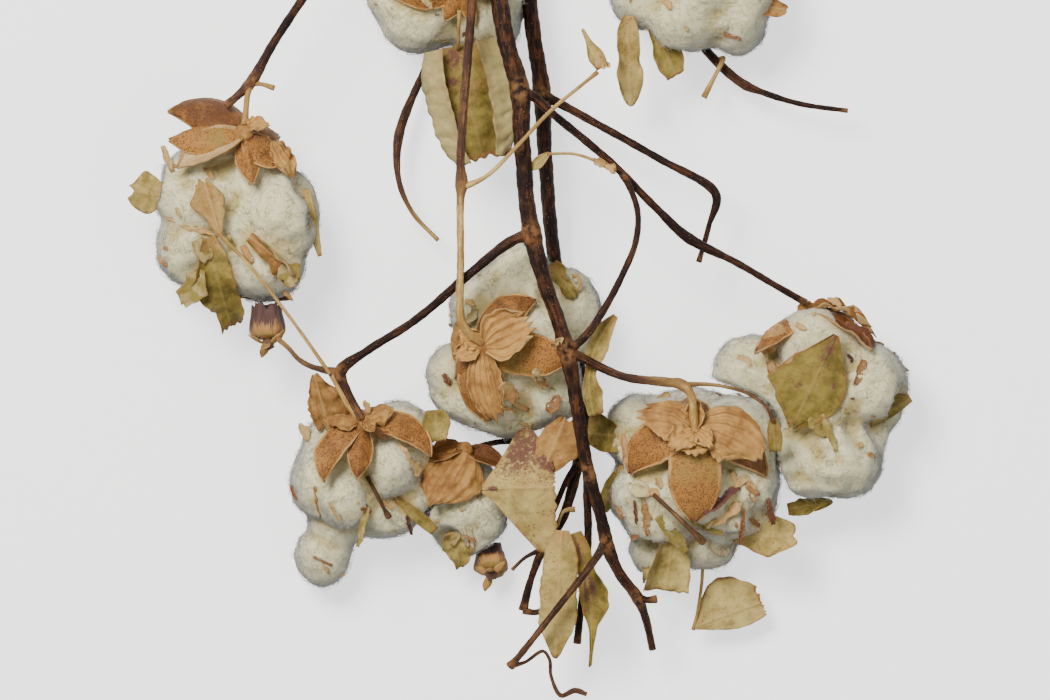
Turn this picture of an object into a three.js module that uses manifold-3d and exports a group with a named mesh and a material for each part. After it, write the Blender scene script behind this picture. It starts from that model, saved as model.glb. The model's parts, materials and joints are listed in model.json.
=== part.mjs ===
// A bunch of dried cotton stems, lying on a flat surface: woody stems with their side branches, eight
// open bolls, two shrivelled buds and the dry leaves that still hang on them.
// Millimetres, +Z up. The origin is on the surface, under the middle boll. +Y points to the cut ends.
import * as THREE from "three";
import { mergeVertices } from "three/addons/utils/BufferGeometryUtils.js";
import Module from "manifold-3d";

const wasm = await Module();
wasm.setup();

// ---- driving dimensions ----------------------------------------------------------------------------
const GAP = 0.3; // clearance between pieces that touch
const LEAF_THICKNESS = 0.9;
const BRACT_THICKNESS = 0.9;
const CARPEL_THICKNESS = 1.5;
const LUMP = 0.04; // how far the lint's skin swells and sinks, as a share of its radius
const LINT_FINENESS = 4; // how often the edges of the lint's twenty-sided start are split
const LINT_REACH = 90; // how far from a boll's centre another piece can still press its lint in
const PRESSED_GAP = 1.9; // how far under the pressing piece the lint's corners are set
const PRESS_RAYS = 5; // rays about each corner of the lint that feel for pressing pieces
const PRESS_LEAN = 0.14; // how far those rays lean from the corner's own direction
const SMOOTHING = 0.1; // how far a face may move when the slivers left by a cut are merged away
const FLOOR_DEPTH = 60; // the slab that flattens what rests on the surface

const BARK = new THREE.MeshStandardMaterial({ color: 0x3a2119, roughness: 0.75, metalness: 0 });
const HUSK = new THREE.MeshStandardMaterial({ color: 0xa9703a, roughness: 0.7, metalness: 0 });
const LINT = new THREE.MeshStandardMaterial({ color: 0xd9d6c4, roughness: 1, metalness: 0 });
const LEAF_OLIVE = new THREE.MeshStandardMaterial({ color: 0x857a32, roughness: 0.8, metalness: 0 });
const LEAF_CREAM = new THREE.MeshStandardMaterial({ color: 0xbfae79, roughness: 0.8, metalness: 0 });

// ---- solids and meshes -----------------------------------------------------------------------------
const vector = ([x, y, z]) => new THREE.Vector3(x, y, z);
const radians = THREE.MathUtils.degToRad;
const lerp = THREE.MathUtils.lerp;

// The closed solid that a list of points and triangles bounds, with its faces pointing out.
function solidOf(points, triangles) {
  const geometry = new THREE.BufferGeometry();
  geometry.setAttribute("position", new THREE.Float32BufferAttribute(points.flat(), 3));
  geometry.setIndex(triangles.flat());
  return solidOfGeometry(geometry);
}

function solidOfGeometry(geometry) {
  const bare = geometry.clone();
  bare.deleteAttribute("normal");
  bare.deleteAttribute("uv");
  const merged = mergeVertices(bare, 1e-3);
  const make = (triVerts) =>
    new wasm.Manifold(
      new wasm.Mesh({ numProp: 3, vertProperties: merged.attributes.position.array, triVerts }),
    );
  const triangles = new Uint32Array(merged.index.array);
  const solid = make(triangles);
  return solid.volume() > 0 ? solid : make(triangles.reverse());
}

// The largest single body of a solid: what a cut leaves loose is dropped.
function largestBody(solid) {
  return solid.decompose().sort((a, b) => b.volume() - a.volume())[0];
}

function meshOf(name, solid, material) {
  const { vertProperties, triVerts } = solid.getMesh();
  const geometry = new THREE.BufferGeometry();
  geometry.setAttribute("position", new THREE.BufferAttribute(vertProperties, 3));
  geometry.setIndex(new THREE.BufferAttribute(triVerts, 1));
  geometry.computeVertexNormals();
  const mesh = new THREE.Mesh(geometry, material);
  mesh.name = name;
  return mesh;
}

const joined = (solids) => solids.reduce((all, one) => all.add(one));

// ---- stalks ----------------------------------------------------------------------------------------
// A round stalk through points [x, y, z, radius], closed at both ends, with a ring of corners at each.
function stalk(points, grow, sides = 5) {
  const curve = new THREE.CatmullRomCurve3(points.map(vector), false, "centripetal");
  const last = points.length - 1;
  const normal = new THREE.Vector3(0, 0, 1);
  const corners = [];
  points.forEach(([, , , radius], i) => {
    const tangent = curve.getTangent(i / last);
    normal.addScaledVector(tangent, -normal.dot(tangent)).normalize();
    const binormal = tangent.clone().cross(normal);
    const centre = curve.getPoint(i / last);
    if (i === 0) centre.addScaledVector(tangent, -grow);
    if (i === last) centre.addScaledVector(tangent, grow);
    for (let k = 0; k < sides; k++) {
      const turn = (2 * Math.PI * (k + 0.5)) / sides;
      const out = centre.clone();
      out.addScaledVector(normal, (radius + grow) * Math.cos(turn));
      out.addScaledVector(binormal, (radius + grow) * Math.sin(turn));
      corners.push(out.toArray());
    }
  });
  const triangles = [];
  for (let k = 1; k < sides - 1; k++) {
    triangles.push([0, k + 1, k], [last * sides, last * sides + k, last * sides + k + 1]);
  }
  for (let i = 0; i < last; i++)
    for (let k = 0; k < sides; k++) {
      const a = i * sides + k;
      const b = i * sides + ((k + 1) % sides);
      triangles.push([a, b, a + sides], [b, b + sides, a + sides]);
    }
  return solidOf(corners, triangles);
}

// ---- blades: leaves, bracts and carpels ------------------------------------------------------------
// A value read from a list of evenly spaced ones, at a share from 0 to 1 of the way along it.
function along(values, share) {
  const at = Math.min(Math.max(share, 0), 1) * (values.length - 1);
  const before = Math.min(Math.floor(at), values.length - 2);
  return lerp(values[before], values[before + 1], at - before);
}

// A triangle wave from -1 to 1 with one tooth for each whole number.
const sawtooth = (x) => 4 * Math.abs(x - Math.floor(x + 0.5)) - 1;

const BLADE_STEPS = 10; // steps in which a blade's centre line and cross section are added up

// How far across and how far up a blade's cross section has come at a share of its half width.
function crossSection(blade, share, half) {
  const { keel = 0, fold = 0, foldAt = 0.6 } = blade;
  const curl = share < 0 ? (blade.curlLeft ?? blade.curl ?? 0) : (blade.curlRight ?? blade.curl ?? 0);
  const foldHere = share < 0 ? (blade.foldLeft ?? fold) : (blade.foldRight ?? fold);
  let across = 0;
  let up = 0;
  for (let i = 0; i < BLADE_STEPS; i++) {
    const at = (Math.abs(share) * (i + 0.5)) / BLADE_STEPS;
    const folded = THREE.MathUtils.smoothstep(at, foldAt, foldAt + 0.22);
    const angle = radians(keel + curl * at + foldHere * folded);
    across += Math.cos(angle);
    up += Math.sin(angle);
  }
  const step = (Math.abs(share) * half) / BLADE_STEPS;
  return [Math.sign(share) * across * step, up * step];
}

// The point of a blade's middle surface at a share u of its length and v of its width, -1 to 1.
function bladePoint(blade, u, v, grow) {
  const { length, bend = 0, sway = 0, twist = 0, round = 0, wave = 0, ribs = 0, ribHeight = 0 } = blade;
  const { teeth = 0, toothDepth = 0, waves = 3 } = blade;
  const widths = v < 0 ? blade.left : (blade.right ?? blade.left);
  const tooth = teeth ? toothDepth * sawtooth((teeth * (v + 1)) / 2) * u ** 3 : 0;
  const reach = u * (1 - round * v * v + tooth);
  const half = Math.max(along(widths, u), 0.35) + grow;
  const centre = vector(blade.base);
  const forward = new THREE.Vector3();
  for (let i = 0; i < BLADE_STEPS; i++) {
    const at = (reach * (i + 0.5)) / BLADE_STEPS;
    const lift = radians(bend * at);
    const aside = radians(sway * at);
    forward.copy(blade.forward).multiplyScalar(Math.cos(lift) * Math.cos(aside));
    forward.addScaledVector(blade.side, Math.cos(lift) * Math.sin(aside));
    forward.addScaledVector(blade.normal, Math.sin(lift));
    centre.addScaledVector(forward, (reach * length) / BLADE_STEPS);
  }
  centre.addScaledVector(forward, grow * (2 * u - 1));
  const lift = radians(bend * reach);
  const aside = radians(sway * reach);
  const side = blade.side.clone().multiplyScalar(Math.cos(aside));
  side.addScaledVector(blade.forward, -Math.sin(aside));
  const normal = blade.normal.clone().multiplyScalar(Math.cos(lift));
  normal.addScaledVector(blade.forward, -Math.sin(lift) * Math.cos(aside));
  normal.addScaledVector(blade.side, -Math.sin(lift) * Math.sin(aside));
  const turn = radians(twist * u);
  const [across, up] = crossSection(blade, v, half);
  const ripple = wave * Math.abs(v) * Math.sin(2 * Math.PI * waves * u + 2 * v);
  const ribbed = ribHeight * Math.cos(Math.PI * ribs * v) * Math.min(1, 3 * u);
  const rise = up + ripple + ribbed;
  centre.addScaledVector(side, across * Math.cos(turn) - rise * Math.sin(turn));
  centre.addScaledVector(normal, across * Math.sin(turn) + rise * Math.cos(turn));
  return centre;
}

// A thin closed blade, triangulated alike on both faces.
function bladeSolid(blade, grow, rows = 4, columns = 4) {
  const middle = [];
  for (let i = 0; i <= rows; i++)
    for (let j = 0; j <= columns; j++)
      middle.push(bladePoint(blade, i / rows, (2 * j) / columns - 1, grow));
  const at = (i, j) =>
    middle[Math.min(Math.max(i, 0), rows) * (columns + 1) + Math.min(Math.max(j, 0), columns)];
  const top = [];
  const bottom = [];
  const half = blade.thickness / 2 + 1.5 * grow;
  for (let i = 0; i <= rows; i++)
    for (let j = 0; j <= columns; j++) {
      const lengthways = at(i + 1, j).clone().sub(at(i - 1, j));
      const crossways = at(i, j + 1).clone().sub(at(i, j - 1));
      const out = crossways.cross(lengthways).normalize();
      top.push(at(i, j).clone().addScaledVector(out, half).toArray());
      bottom.push(at(i, j).clone().addScaledVector(out, -half).toArray());
    }
  const under = top.length;
  const triangles = [];
  for (let i = 0; i < rows; i++)
    for (let j = 0; j < columns; j++) {
      const a = i * (columns + 1) + j;
      const b = a + 1;
      const c = a + columns + 1;
      const d = c + 1;
      triangles.push([a, b, c], [b, d, c]);
      triangles.push([under + a, under + c, under + b], [under + b, under + c, under + d]);
    }
  const rim = [];
  for (let j = 0; j < columns; j++) rim.push(j);
  for (let i = 0; i < rows; i++) rim.push(i * (columns + 1) + columns);
  for (let j = columns; j > 0; j--) rim.push(rows * (columns + 1) + j);
  for (let i = rows; i > 0; i--) rim.push(i * (columns + 1));
  rim.forEach((a, k) => {
    const b = rim[(k + 1) % rim.length];
    triangles.push([a, under + a, under + b], [a, under + b, b]);
  });
  return solidOf([...top, ...bottom], triangles);
}

// ---- lint ------------------------------------------------------------------------------------------
const lumpy = (point, seed) =>
  Math.sin(3.1 * point.x + seed) * Math.sin(2.7 * point.y + 2 * seed) +
  0.6 * Math.sin(5.3 * point.z + 3 * seed + 2 * point.x);

// A small rounded lump: an ellipsoid [x, y, z, rx, ry, rz].
function lumpSolid([x, y, z, rx, ry, rz], grow, fineness) {
  const geometry = new THREE.IcosahedronGeometry(1, fineness);
  geometry.scale(rx + grow, ry + grow, rz + grow);
  geometry.translate(x, y, z);
  return solidOfGeometry(geometry);
}

// How far a ray from a boll's centre runs before it leaves a lock [dx, dy, dz, rx, ry, rz]; 0 if it misses.
function reachOfLock([dx, dy, dz, rx, ry, rz], direction) {
  const from = new THREE.Vector3(-dx / rx, -dy / ry, -dz / rz);
  const way = new THREE.Vector3(direction.x / rx, direction.y / ry, direction.z / rz);
  const a = way.dot(way);
  const b = from.dot(way);
  const inside = b * b - a * (from.dot(from) - 1);
  return inside < 0 ? 0 : Math.max(0, (-b + Math.sqrt(inside)) / a);
}

// How far out along a direction the pieces about a boll leave room for its lint.
function roomAlong(middle, direction, pressing) {
  const right = new THREE.Vector3(direction.z, 0.3, -direction.x).cross(direction).normalize();
  const up = direction.clone().cross(right);
  const ray = new THREE.Raycaster(middle, direction, 0, LINT_REACH);
  let room = LINT_REACH;
  for (let k = 0; k <= PRESS_RAYS; k++) {
    const turn = (2 * Math.PI * k) / PRESS_RAYS;
    const lean = k < PRESS_RAYS ? PRESS_LEAN : 0;
    ray.ray.direction.copy(direction);
    ray.ray.direction.addScaledVector(right, lean * Math.cos(turn));
    ray.ray.direction.addScaledVector(up, lean * Math.sin(turn)).normalize();
    const [hit] = ray.intersectObjects(pressing);
    if (hit) room = Math.min(room, hit.distance - PRESSED_GAP);
  }
  return room;
}

// A boll's lint: one skin over its locks, flattened by the surface and pressed in by what lies on it.
function lintSkin({ centre, locks }, seed, grow, pressing) {
  const bare = new THREE.IcosahedronGeometry(1, LINT_FINENESS);
  bare.deleteAttribute("normal");
  bare.deleteAttribute("uv");
  const geometry = mergeVertices(bare, 1e-4);
  const positions = geometry.getAttribute("position");
  const direction = new THREE.Vector3();
  const middle = vector(centre);
  for (let i = 0; i < positions.count; i++) {
    direction.fromBufferAttribute(positions, i).normalize();
    const free = Math.max(...locks.map((lock) => reachOfLock(lock, direction)));
    const full = free * (1 + LUMP * lumpy(direction, seed));
    let reach = Math.min(full, roomAlong(middle, direction, pressing)) + grow;
    if (middle.z + reach * direction.z < 0) reach = -middle.z / direction.z;
    direction.multiplyScalar(reach).add(middle);
    positions.setXYZ(i, direction.x, direction.y, direction.z);
  }
  return solidOfGeometry(geometry);
}

// ---- stems -----------------------------------------------------------------------------------------
// Each stalk is a list of [x, y, z, radius]. A branch's first point lies inside the stalk that it grows from.
const STEMS = {
  // The thick stem, from its cut end to its tip, with the side shoots that carry six of the bolls.
  stem_front: [
    [
      [-36.5, 305, 42, 4.9], [-27.5, 245, 56, 4.7], [-13.5, 178, 69, 4.5], [-8.5, 150, 72, 4.4],
      [-2.5, 129, 73, 4.9], [-1.5, 105, 74, 4.2], [1, 72, 75, 4.1], [3.5, 58, 75, 4.7],
      [10, 32.5, 76, 3.8], [16, 16, 76, 3.6], [21, -1, 75.5, 4.2], [24.5, -20, 73.5, 3.4],
      [28, -42, 70, 3.3], [32, -62, 65, 3.1], [37.5, -82, 59, 3.0], [41, -97, 54, 3.4],
      [47.5, -112, 46, 2.7], [56, -123.5, 40, 2.9], [60.5, -135, 34, 2.0], [64, -150, 29, 1.8],
    ],
    [ // to the far left boll
      [-32.5, 280, 48, 2.6], [-67, 240, 50, 2.4], [-111, 175, 52, 2.2], [-125, 154, 53, 2.2],
      [-137, 133, 54, 2.8], [-143, 127, 55, 2.0], [-149.5, 121.5, 55, 2.2],
    ],
    [ // its pale stalk
      [-137, 133, 54, 1.8], [-138.5, 126, 57, 1.4], [-139.5, 112, 60.5, 1.7],
    ],
    [ // stub beside it
      [-137, 133, 54, 1.3], [-131, 132.5, 55, 1.1], [-125, 130.5, 56, 1.3],
    ],
    [ // to the lower left boll
      [3.5, 58, 75, 3.4], [-6, 54.5, 76, 2.7], [-28, 37.5, 75, 2.3], [-55, 14.5, 71, 2.1],
      [-78, 0, 67, 2.1], [-92, -11, 63, 3.0], [-88, -22, 63, 2.4], [-81.5, -35, 61, 2.4],
    ],
    [ // the pale stalk beside its end
      [-97, -10.5, 62, 1.5], [-94.5, -16, 64, 1.2], [-86, -31, 62.5, 1.3], [-82, -36, 60, 1.4],
    ],
    [ // to the left bud
      [-92, -11, 63, 2.0], [-99.5, -10, 61, 1.7], [-107, -8, 59, 1.4], [-113, -4.5, 56, 1.3],
      [-118, 1, 53, 1.2], [-124.5, 6.5, 48.8, 1.3],
    ],
    [ // to the lower right boll
      [21, 0, 75.5, 2.8], [28, -3.8, 76, 2.3], [48.5, -13, 78, 2.1], [70, -16, 80, 2.4],
      [78, -17.2, 80, 2.6], [82.5, -22.5, 80, 2.0], [84, -32, 78, 1.9], [84.5, -41, 75, 2.0],
    ],
    [ // the thin stalk that runs on from it
      [78, -17.2, 80, 1.5], [90, -17, 80, 1.0], [101, -18.5, 79.5, 0.9], [112, -22.3, 78, 0.9],
      [120, -28.3, 75, 0.9], [123.5, -35.5, 71, 1.1],
    ],
    [ // the curved shoot that bends back up
      [21, -1, 75.5, 2.4], [30, 7, 77, 2.0], [38, 18, 77, 1.9], [48.5, 37.5, 77, 1.7],
      [55, 54, 76, 1.6], [56, 69, 75, 1.5], [51, 83, 74, 1.6], [48, 87.5, 75, 1.6],
    ],
    [ // to the far right boll
      [-3, 129, 73, 3.4], [4, 126, 73, 2.5], [12.5, 118.5, 72, 2.1], [41.5, 94.5, 67, 2.0],
      [65, 71, 62, 2.0], [82, 55.5, 58, 2.7], [104.5, 44, 57, 1.8], [124.5, 32.5, 56, 1.7],
      [140, 23.5, 52, 1.8],
    ],
    [ // the thin shoot beside the stem, to the middle boll
      [-21.5, 212, 62, 2.6], [-25.5, 180, 76, 2.3], [-28.5, 145, 80, 2.2], [-32, 95, 83, 2.1],
      [-31.5, 82.5, 83, 3.0], [-32, 74, 83, 1.9], [-32, 45, 82, 1.8], [-31.5, 14, 76, 2.2],
      [-27, 8, 72.5, 2.0], [-21, 3, 68, 2.0],
    ],
    [ // the pale twig that crosses in front of the stem
      [-31.5, 80.5, 83, 1.7], [-19.5, 86, 85, 1.1], [-4, 101, 85.5, 1.0], [12.5, 118.5, 84, 1.0],
      [28, 131.5, 80, 0.9], [36, 138, 77, 1.1],
    ],
    [ // to the upper middle boll
      [-21.5, 225, 60, 2.4], [-27, 205, 73, 1.9], [-31, 189, 72, 1.8], [-31.5, 182, 69, 1.8],
    ],
    [ // the stick that points down and left
      [40.5, -96, 54, 2.6], [33, -107, 56, 1.9], [12, -134, 54, 1.6], [-4, -154, 48, 1.7],
      [-7.5, -158, 46, 2.2],
    ],
    [ // the thin stalk turned back from its knob, and the curl it ends in
      [-7.5, -158, 46, 1.4], [0, -156, 44, 0.9], [9, -150.5, 41, 0.9], [12.3, -155, 39, 0.9],
      [13, -163, 36, 0.9], [18, -173, 33, 1.2], [25, -170.5, 32, 1.5], [31, -172.5, 32, 1.0],
    ],
    [ // the shoot close behind the stem
      [31.5, -60, 65.5, 2.4], [31, -72, 56, 2.1], [31.5, -88, 46, 2.0], [31, -103, 38, 1.9],
      [28.5, -125, 33, 1.8], [26, -147, 30, 1.9],
    ],
    [ // spur near the tip
      [56, -123.5, 40, 2.0], [61, -125, 39.5, 1.6], [66, -124.5, 39, 1.9],
    ],
  ],
  // The second stem, which passes under the middle boll.
  stem_back: [
    [
      [-16.5, 302.5, 27, 4.3], [-7, 240, 28, 4.1], [2, 175, 28, 4.0], [5.5, 150, 27, 3.9],
      [8.5, 128, 26, 4.4], [10, 100, 23, 3.7], [12, 70, 18, 3.6], [15, 46, 13, 3.5],
      [22, 14, 9, 3.3], [29, -18, 10, 3.2], [29, -45, 20, 3.2], [26, -60, 28, 2.8],
      [18.5, -85, 30, 2.4], [10, -97.5, 29, 2.2], [3, -115, 27, 1.8], [-1, -130.5, 25, 2.3],
    ],
    [ // stub at its end
      [-1, -130.5, 25, 1.8], [5, -131.5, 25.5, 1.4], [10, -130, 26, 1.5],
    ],
    [ // side twig near its end
      [9, -99.5, 29, 1.4], [0, -104, 32, 0.9], [-6.5, -110, 34, 0.9],
    ],
    [ // to the right, bare beyond its joint
      [8.5, 128, 26, 2.9], [20, 122, 28, 2.2], [42, 110, 30, 2.0], [67.5, 95.5, 32, 1.9],
      [95.5, 78, 34, 2.4], [92, 62, 32, 1.4], [87, 44, 30, 1.3],
    ],
    [ // to the left, under the upper middle boll, bare beyond its two joints
      [-1, 207, 28, 2.3], [-17.5, 190, 13, 2.0], [-33, 170, 8, 1.9], [-44, 153.5, 11, 1.9],
      [-52, 137, 14, 1.9], [-63, 109, 18, 2.5], [-63.5, 86, 18, 1.5], [-56.5, 69, 18, 1.2],
      [-43.5, 55, 18, 1.0],
    ],
    [ // to the right, under the upper right boll, bare at its end
      [-10, 262.5, 28, 3.0], [22.5, 230, 26, 2.8], [57.5, 200, 14, 2.4], [77.5, 170, 8, 2.2],
      [90.5, 151, 12, 2.2], [109.5, 133.5, 20, 2.5], [120, 129, 21, 1.7], [137.5, 123.5, 22, 1.4],
      [162, 120, 22, 1.2],
    ],
    [ // to the upper right boll
      [22.5, 230, 26, 2.6], [52, 238, 34, 2.1], [72, 240, 41, 2.0], [85, 229, 43, 2.1],
    ],
    [ // the pale stub behind the upper right boll
      [98.5, 146, 15.5, 1.5], [99.5, 146, 22, 1.2], [95, 137, 25, 1.1], [89.5, 126.5, 25, 1.5],
    ],
    [ // to the small boll behind
      [29, -45, 20, 2.2], [10, -46, 19, 1.6], [-12.5, -46, 25, 1.5], [-28, -50, 34, 1.7],
    ],
    [ // the thin shoot in front of its lower end
      [26.5, -57, 27, 2.0], [20.5, -66, 37, 1.5], [14, -81, 38, 1.4], [8, -94, 33, 1.3],
    ],
  ],
};

function stemSolid(stalks, grow) {
  return joined(stalks.map((points, k) => stalk(points, grow, k ? 4 : 6)));
}

// ---- bolls -----------------------------------------------------------------------------------------
// centre: the middle of the lint. seat: where the stalk meets the husk. stalkSide: the direction from
// the lint to the stalk. locks: the lint's lobes about the centre. Carpels and bracts fan out from the
// seat: around is their turn about the stalk, open the angle between them and the lint's own axis.
const BOLLS = {
  boll_lower_right: {
    centre: [84.5, -59, 37], seat: [84.5, -41.5, 73.5], stalkSide: [0, 0.42, 0.91],
    locks: [
      [0, -9, 2, 27, 25, 28], [-24, 15, 0, 21, 21, 27], [22, 17, 0, 22, 21, 27],
      [-29, -10, -2, 17, 20, 25], [29, -7, -2, 17, 22, 25], [-16, -25, -4, 19, 15, 23],
      [19, -24, -4, 21, 16, 23], [0, 26, -6, 23, 15, 24], [0, 0, -9, 32, 30, 31],
    ],
    trails: [[-21, -41, -19, 12, 13, 13], [6, -38, -16, 17, 14, 17]],
    carpels: [
      { around: 166, open: 88, length: 43, width: 25, bend: -58, curl: -35, sway: -78 },
      { around: 270, open: 84, length: 42, width: 27, bend: -60, curl: -55 },
      { around: 8, open: 88, length: 46, width: 22, bend: -58, curl: -35, sway: 62 },
      { around: 95, open: 98, length: 34, width: 22, bend: -75, curl: -40 },
    ],
    bracts: [
      { around: 150, open: 102, length: 29, width: 22, bend: -40, curl: -20, sway: -25 },
      { around: 12, open: 99, length: 40, width: 29, bend: -50, curl: -35, sway: 72 },
      { around: 262, open: 100, length: 11, width: 22, bend: -20, curl: -50 },
    ],
  },
  boll_middle: {
    centre: [-5, 7.5, 32], seat: [-20, 1.5, 66], stalkSide: [-0.36, 0.05, 0.93],
    locks: [
      [2.5, -5, 2, 28, 28, 28], [2.5, 31, 2, 15, 17, 22], [-15, 15, 1, 18, 20, 24],
      [23, 9, -3, 19, 24, 23], [-24, -27, -5, 21, 18, 23], [-4, -35, -5, 21, 16, 22],
      [18, -27, -2, 18, 18, 23], [0, 0, -8, 27, 27, 26],
    ],
    carpels: [
      { around: 82, open: 86, length: 37, width: 24, bend: -48, curl: -55, sway: 72 },
      { around: 352, open: 84, length: 41, width: 24, bend: -38, curl: -55 },
      { around: 250, open: 86, length: 41, width: 25, bend: -42, curl: -50, sway: -52 },
      { around: 215, open: 92, length: 29, width: 17, bend: -65, curl: -50 },
    ],
    bracts: [
      { around: 22, open: 103, length: 30, width: 33, bend: -38, curl: 15, teeth: 7 },
      { around: 270, open: 97, length: 38, width: 21, bend: -45, curl: -45, sway: -15 },
      { around: 140, open: 110, length: 10, width: 13, bend: -20, curl: 40 },
    ],
  },
  boll_far_left: {
    centre: [-144.5, 64, 35], seat: [-140, 108, 60], stalkSide: [0.05, 0.64, 0.77],
    locks: [
      [20, 4, 2, 23, 27, 27], [-19, 13, 2, 21, 22, 25], [-22, -15, -3, 19, 18, 24],
      [12, -22, -2, 22, 18, 25], [0, 24, -2, 27, 20, 24], [0, -2, -8, 29, 30, 28],
    ],
    carpels: [
      { around: 276, open: 74, length: 36, width: 28, bend: -26, curl: -20, keel: -34 },
      { around: 188, open: 98, length: 36, width: 23, bend: -38, curl: -55 },
      { around: 130, open: 100, length: 42, width: 21, bend: -30, curl: -45, sway: -66 },
      { around: 206, open: 80, length: 37, width: 18, bend: -28, curl: 35 },
      { around: 40, open: 80, length: 29, width: 18, bend: -60, curl: -50 },
    ],
    bracts: [{ around: 322, open: 87, length: 31, width: 17, bend: -58, curl: -40 }],
  },
  boll_lower_left: {
    centre: [-81.5, -62.5, 34], seat: [-80.5, -37, 60], stalkSide: [0.03, 0.66, 0.75],
    locks: [
      [13, 4, 6, 14, 17, 22], [-9, -11, 5, 15, 16, 22], [-22, -4, -3, 13, 20, 20],
      [-17, 17, -3, 14, 14, 20], [18, 23, -7, 16, 14, 19], [27, 0, -8, 13, 19, 18],
      [11, -19, -8, 19, 13, 18], [0, 2, -9, 24, 26, 27],
    ],
    trails: [[-14, -24, -13, 15, 16, 18], [-19.5, -40, -16, 15, 17, 17]],
    carpels: [
      { around: 196, open: 92, length: 38, width: 16, bend: -45, curl: -40, sway: -86 },
      { around: 264, open: 84, length: 28, width: 17, bend: -25, curl: -30, keel: -25 },
      { around: 30, open: 94, length: 41, width: 18, bend: -45, curl: -40, sway: 98 },
      { around: 95, open: 84, length: 26, width: 18, bend: -60, curl: -50 },
    ],
    bracts: [
      { around: 178, open: 100, length: 19, width: 15, bend: -50, curl: -40 },
      { around: 40, open: 98, length: 18, width: 16, bend: -50, curl: -50 },
    ],
  },
  boll_far_right: {
    centre: [143.5, -25, 36], seat: [140.5, 20, 46], stalkSide: [-0.08, 0.94, 0.32],
    locks: [
      [2, 3, -1, 27, 24, 25], [4, 29, 0, 21, 20, 24], [29, 7, -2, 21, 22, 24],
      [-34, 13, -6, 20, 21, 22], [32, -5, -6, 15, 14, 20], [12, -31, -3, 25, 21, 25],
      [-14, -30, -6, 20, 20, 23], [-24, -12, -8, 16, 18, 20], [0, 0, -10, 30, 30, 28],
    ],
    carpels: [
      { around: 212, open: 76, length: 36, width: 23, bend: -25, curl: -50 },
      { around: 332, open: 84, length: 38, width: 18, bend: -50, curl: -60 },
      { around: 90, open: 80, length: 32, width: 20, bend: -50, curl: -50 },
    ],
    bracts: [{ around: 30, open: 95, length: 20, width: 16, bend: -50, curl: -40 }],
  },
  boll_upper_middle: {
    centre: [-38.5, 180, 31.5], seat: [-31.5, 180, 65.5], stalkSide: [0.15, -0.02, 0.98],
    locks: [
      [0, 2, 2, 26, 25, 29], [-23, 4, 2, 20, 25, 24], [-14, -13, 2, 20, 18, 24],
      [18, -16, 1, 20, 18, 24], [28, 5, -2, 16, 24, 23], [0, 26, -2, 27, 18, 24],
      [0, 2, -7, 28, 28, 27],
    ],
    carpels: [
      { around: 245, open: 86, length: 31, width: 17, bend: -30, curl: -70 },
      { around: 292, open: 86, length: 30, width: 14, bend: -30, curl: -70 },
      { around: 20, open: 88, length: 37, width: 23, bend: -48, curl: -50 },
      { around: 104, open: 86, length: 38, width: 24, bend: -50, curl: -50 },
      { around: 183, open: 86, length: 38, width: 22, bend: -46, curl: -50 },
    ],
    bracts: [{ around: 62, open: 106, length: 26, width: 22, bend: -50, curl: -30 }],
  },
  boll_upper_right: {
    centre: [86, 183, 35], seat: [86, 226, 43], stalkSide: [0.02, 0.98, 0.15],
    locks: [
      [0, 0, 0, 28, 26, 28], [-27, 0, -3, 20, 22, 23], [-4, -14, 0, 23, 20, 25],
      [20, -17, -3, 16, 19, 23], [28, 3, -3, 16, 22, 23], [0, 23, -2, 27, 19, 24],
      [0, 0, -9, 30, 28, 28],
    ],
    carpels: [
      { around: 275, open: 76, length: 37, width: 25, bend: -40, curl: -50 },
      { around: 350, open: 80, length: 40, width: 24, bend: -50, curl: -50 },
      { around: 190, open: 80, length: 38, width: 24, bend: -50, curl: -50 },
      { around: 90, open: 76, length: 32, width: 20, bend: -50, curl: -50 },
    ],
    bracts: [
      { around: 232, open: 96, length: 27, width: 24, bend: -60, curl: -30 },
      { around: 315, open: 98, length: 26, width: 22, bend: -60, curl: -30 },
    ],
  },
  boll_behind: {
    centre: [-31, -80, 21], seat: [-30.5, -50.5, 35], stalkSide: [0.15, 0.7, 0.7],
    locks: [
      [0, 0, -2, 19, 18, 20], [10, -2, -2, 13, 16, 18], [-9, 1, -2, 13, 16, 18],
      [2, -12, -4, 16, 13, 17], [1, 12, -4, 16, 14, 18],
    ],
    carpels: [
      { around: 348, open: 92, length: 21, width: 15, bend: -20, curl: -40 },
      { around: 90, open: 80, length: 18, width: 14, bend: -50, curl: -50 },
    ],
    bracts: [{ around: 246, open: 80, length: 34, width: 34, bend: -38, curl: -55, teeth: 0, round: 0.1 }],
  },
};

const LOCK_SEED = { boll_lower_right: 1, boll_middle: 2, boll_far_left: 3, boll_lower_left: 4 };

// Half widths along a carpel and along a bract, as shares of the full width: a boat and a toothed fan.
const CARPEL_OUTLINE = [0.16, 0.4, 0.5, 0.46, 0.3, 0.03];
const BRACT_OUTLINE = [0.1, 0.34, 0.47, 0.5, 0.44, 0.3];

function lintSolid(name, grow) {
  const boll = BOLLS[name];
  const [x, y, z] = boll.centre;
  const skin = lintSkin(boll, LOCK_SEED[name] ?? 0.5, grow, pressers);
  const trails = (boll.trails ?? []).map(([dx, dy, dz, ...radii]) =>
    lumpSolid([x + dx, y + dy, z + dz, ...radii], grow, 1),
  );
  return joined([skin, ...trails]).subtract(floorSlab());
}

// The slab under the surface, which presses flat whatever rests on it.
function floorSlab() {
  const geometry = new THREE.BoxGeometry(800, 800, FLOOR_DEPTH);
  geometry.translate(0, 0, -FLOOR_DEPTH / 2);
  return solidOfGeometry(geometry);
}

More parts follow.
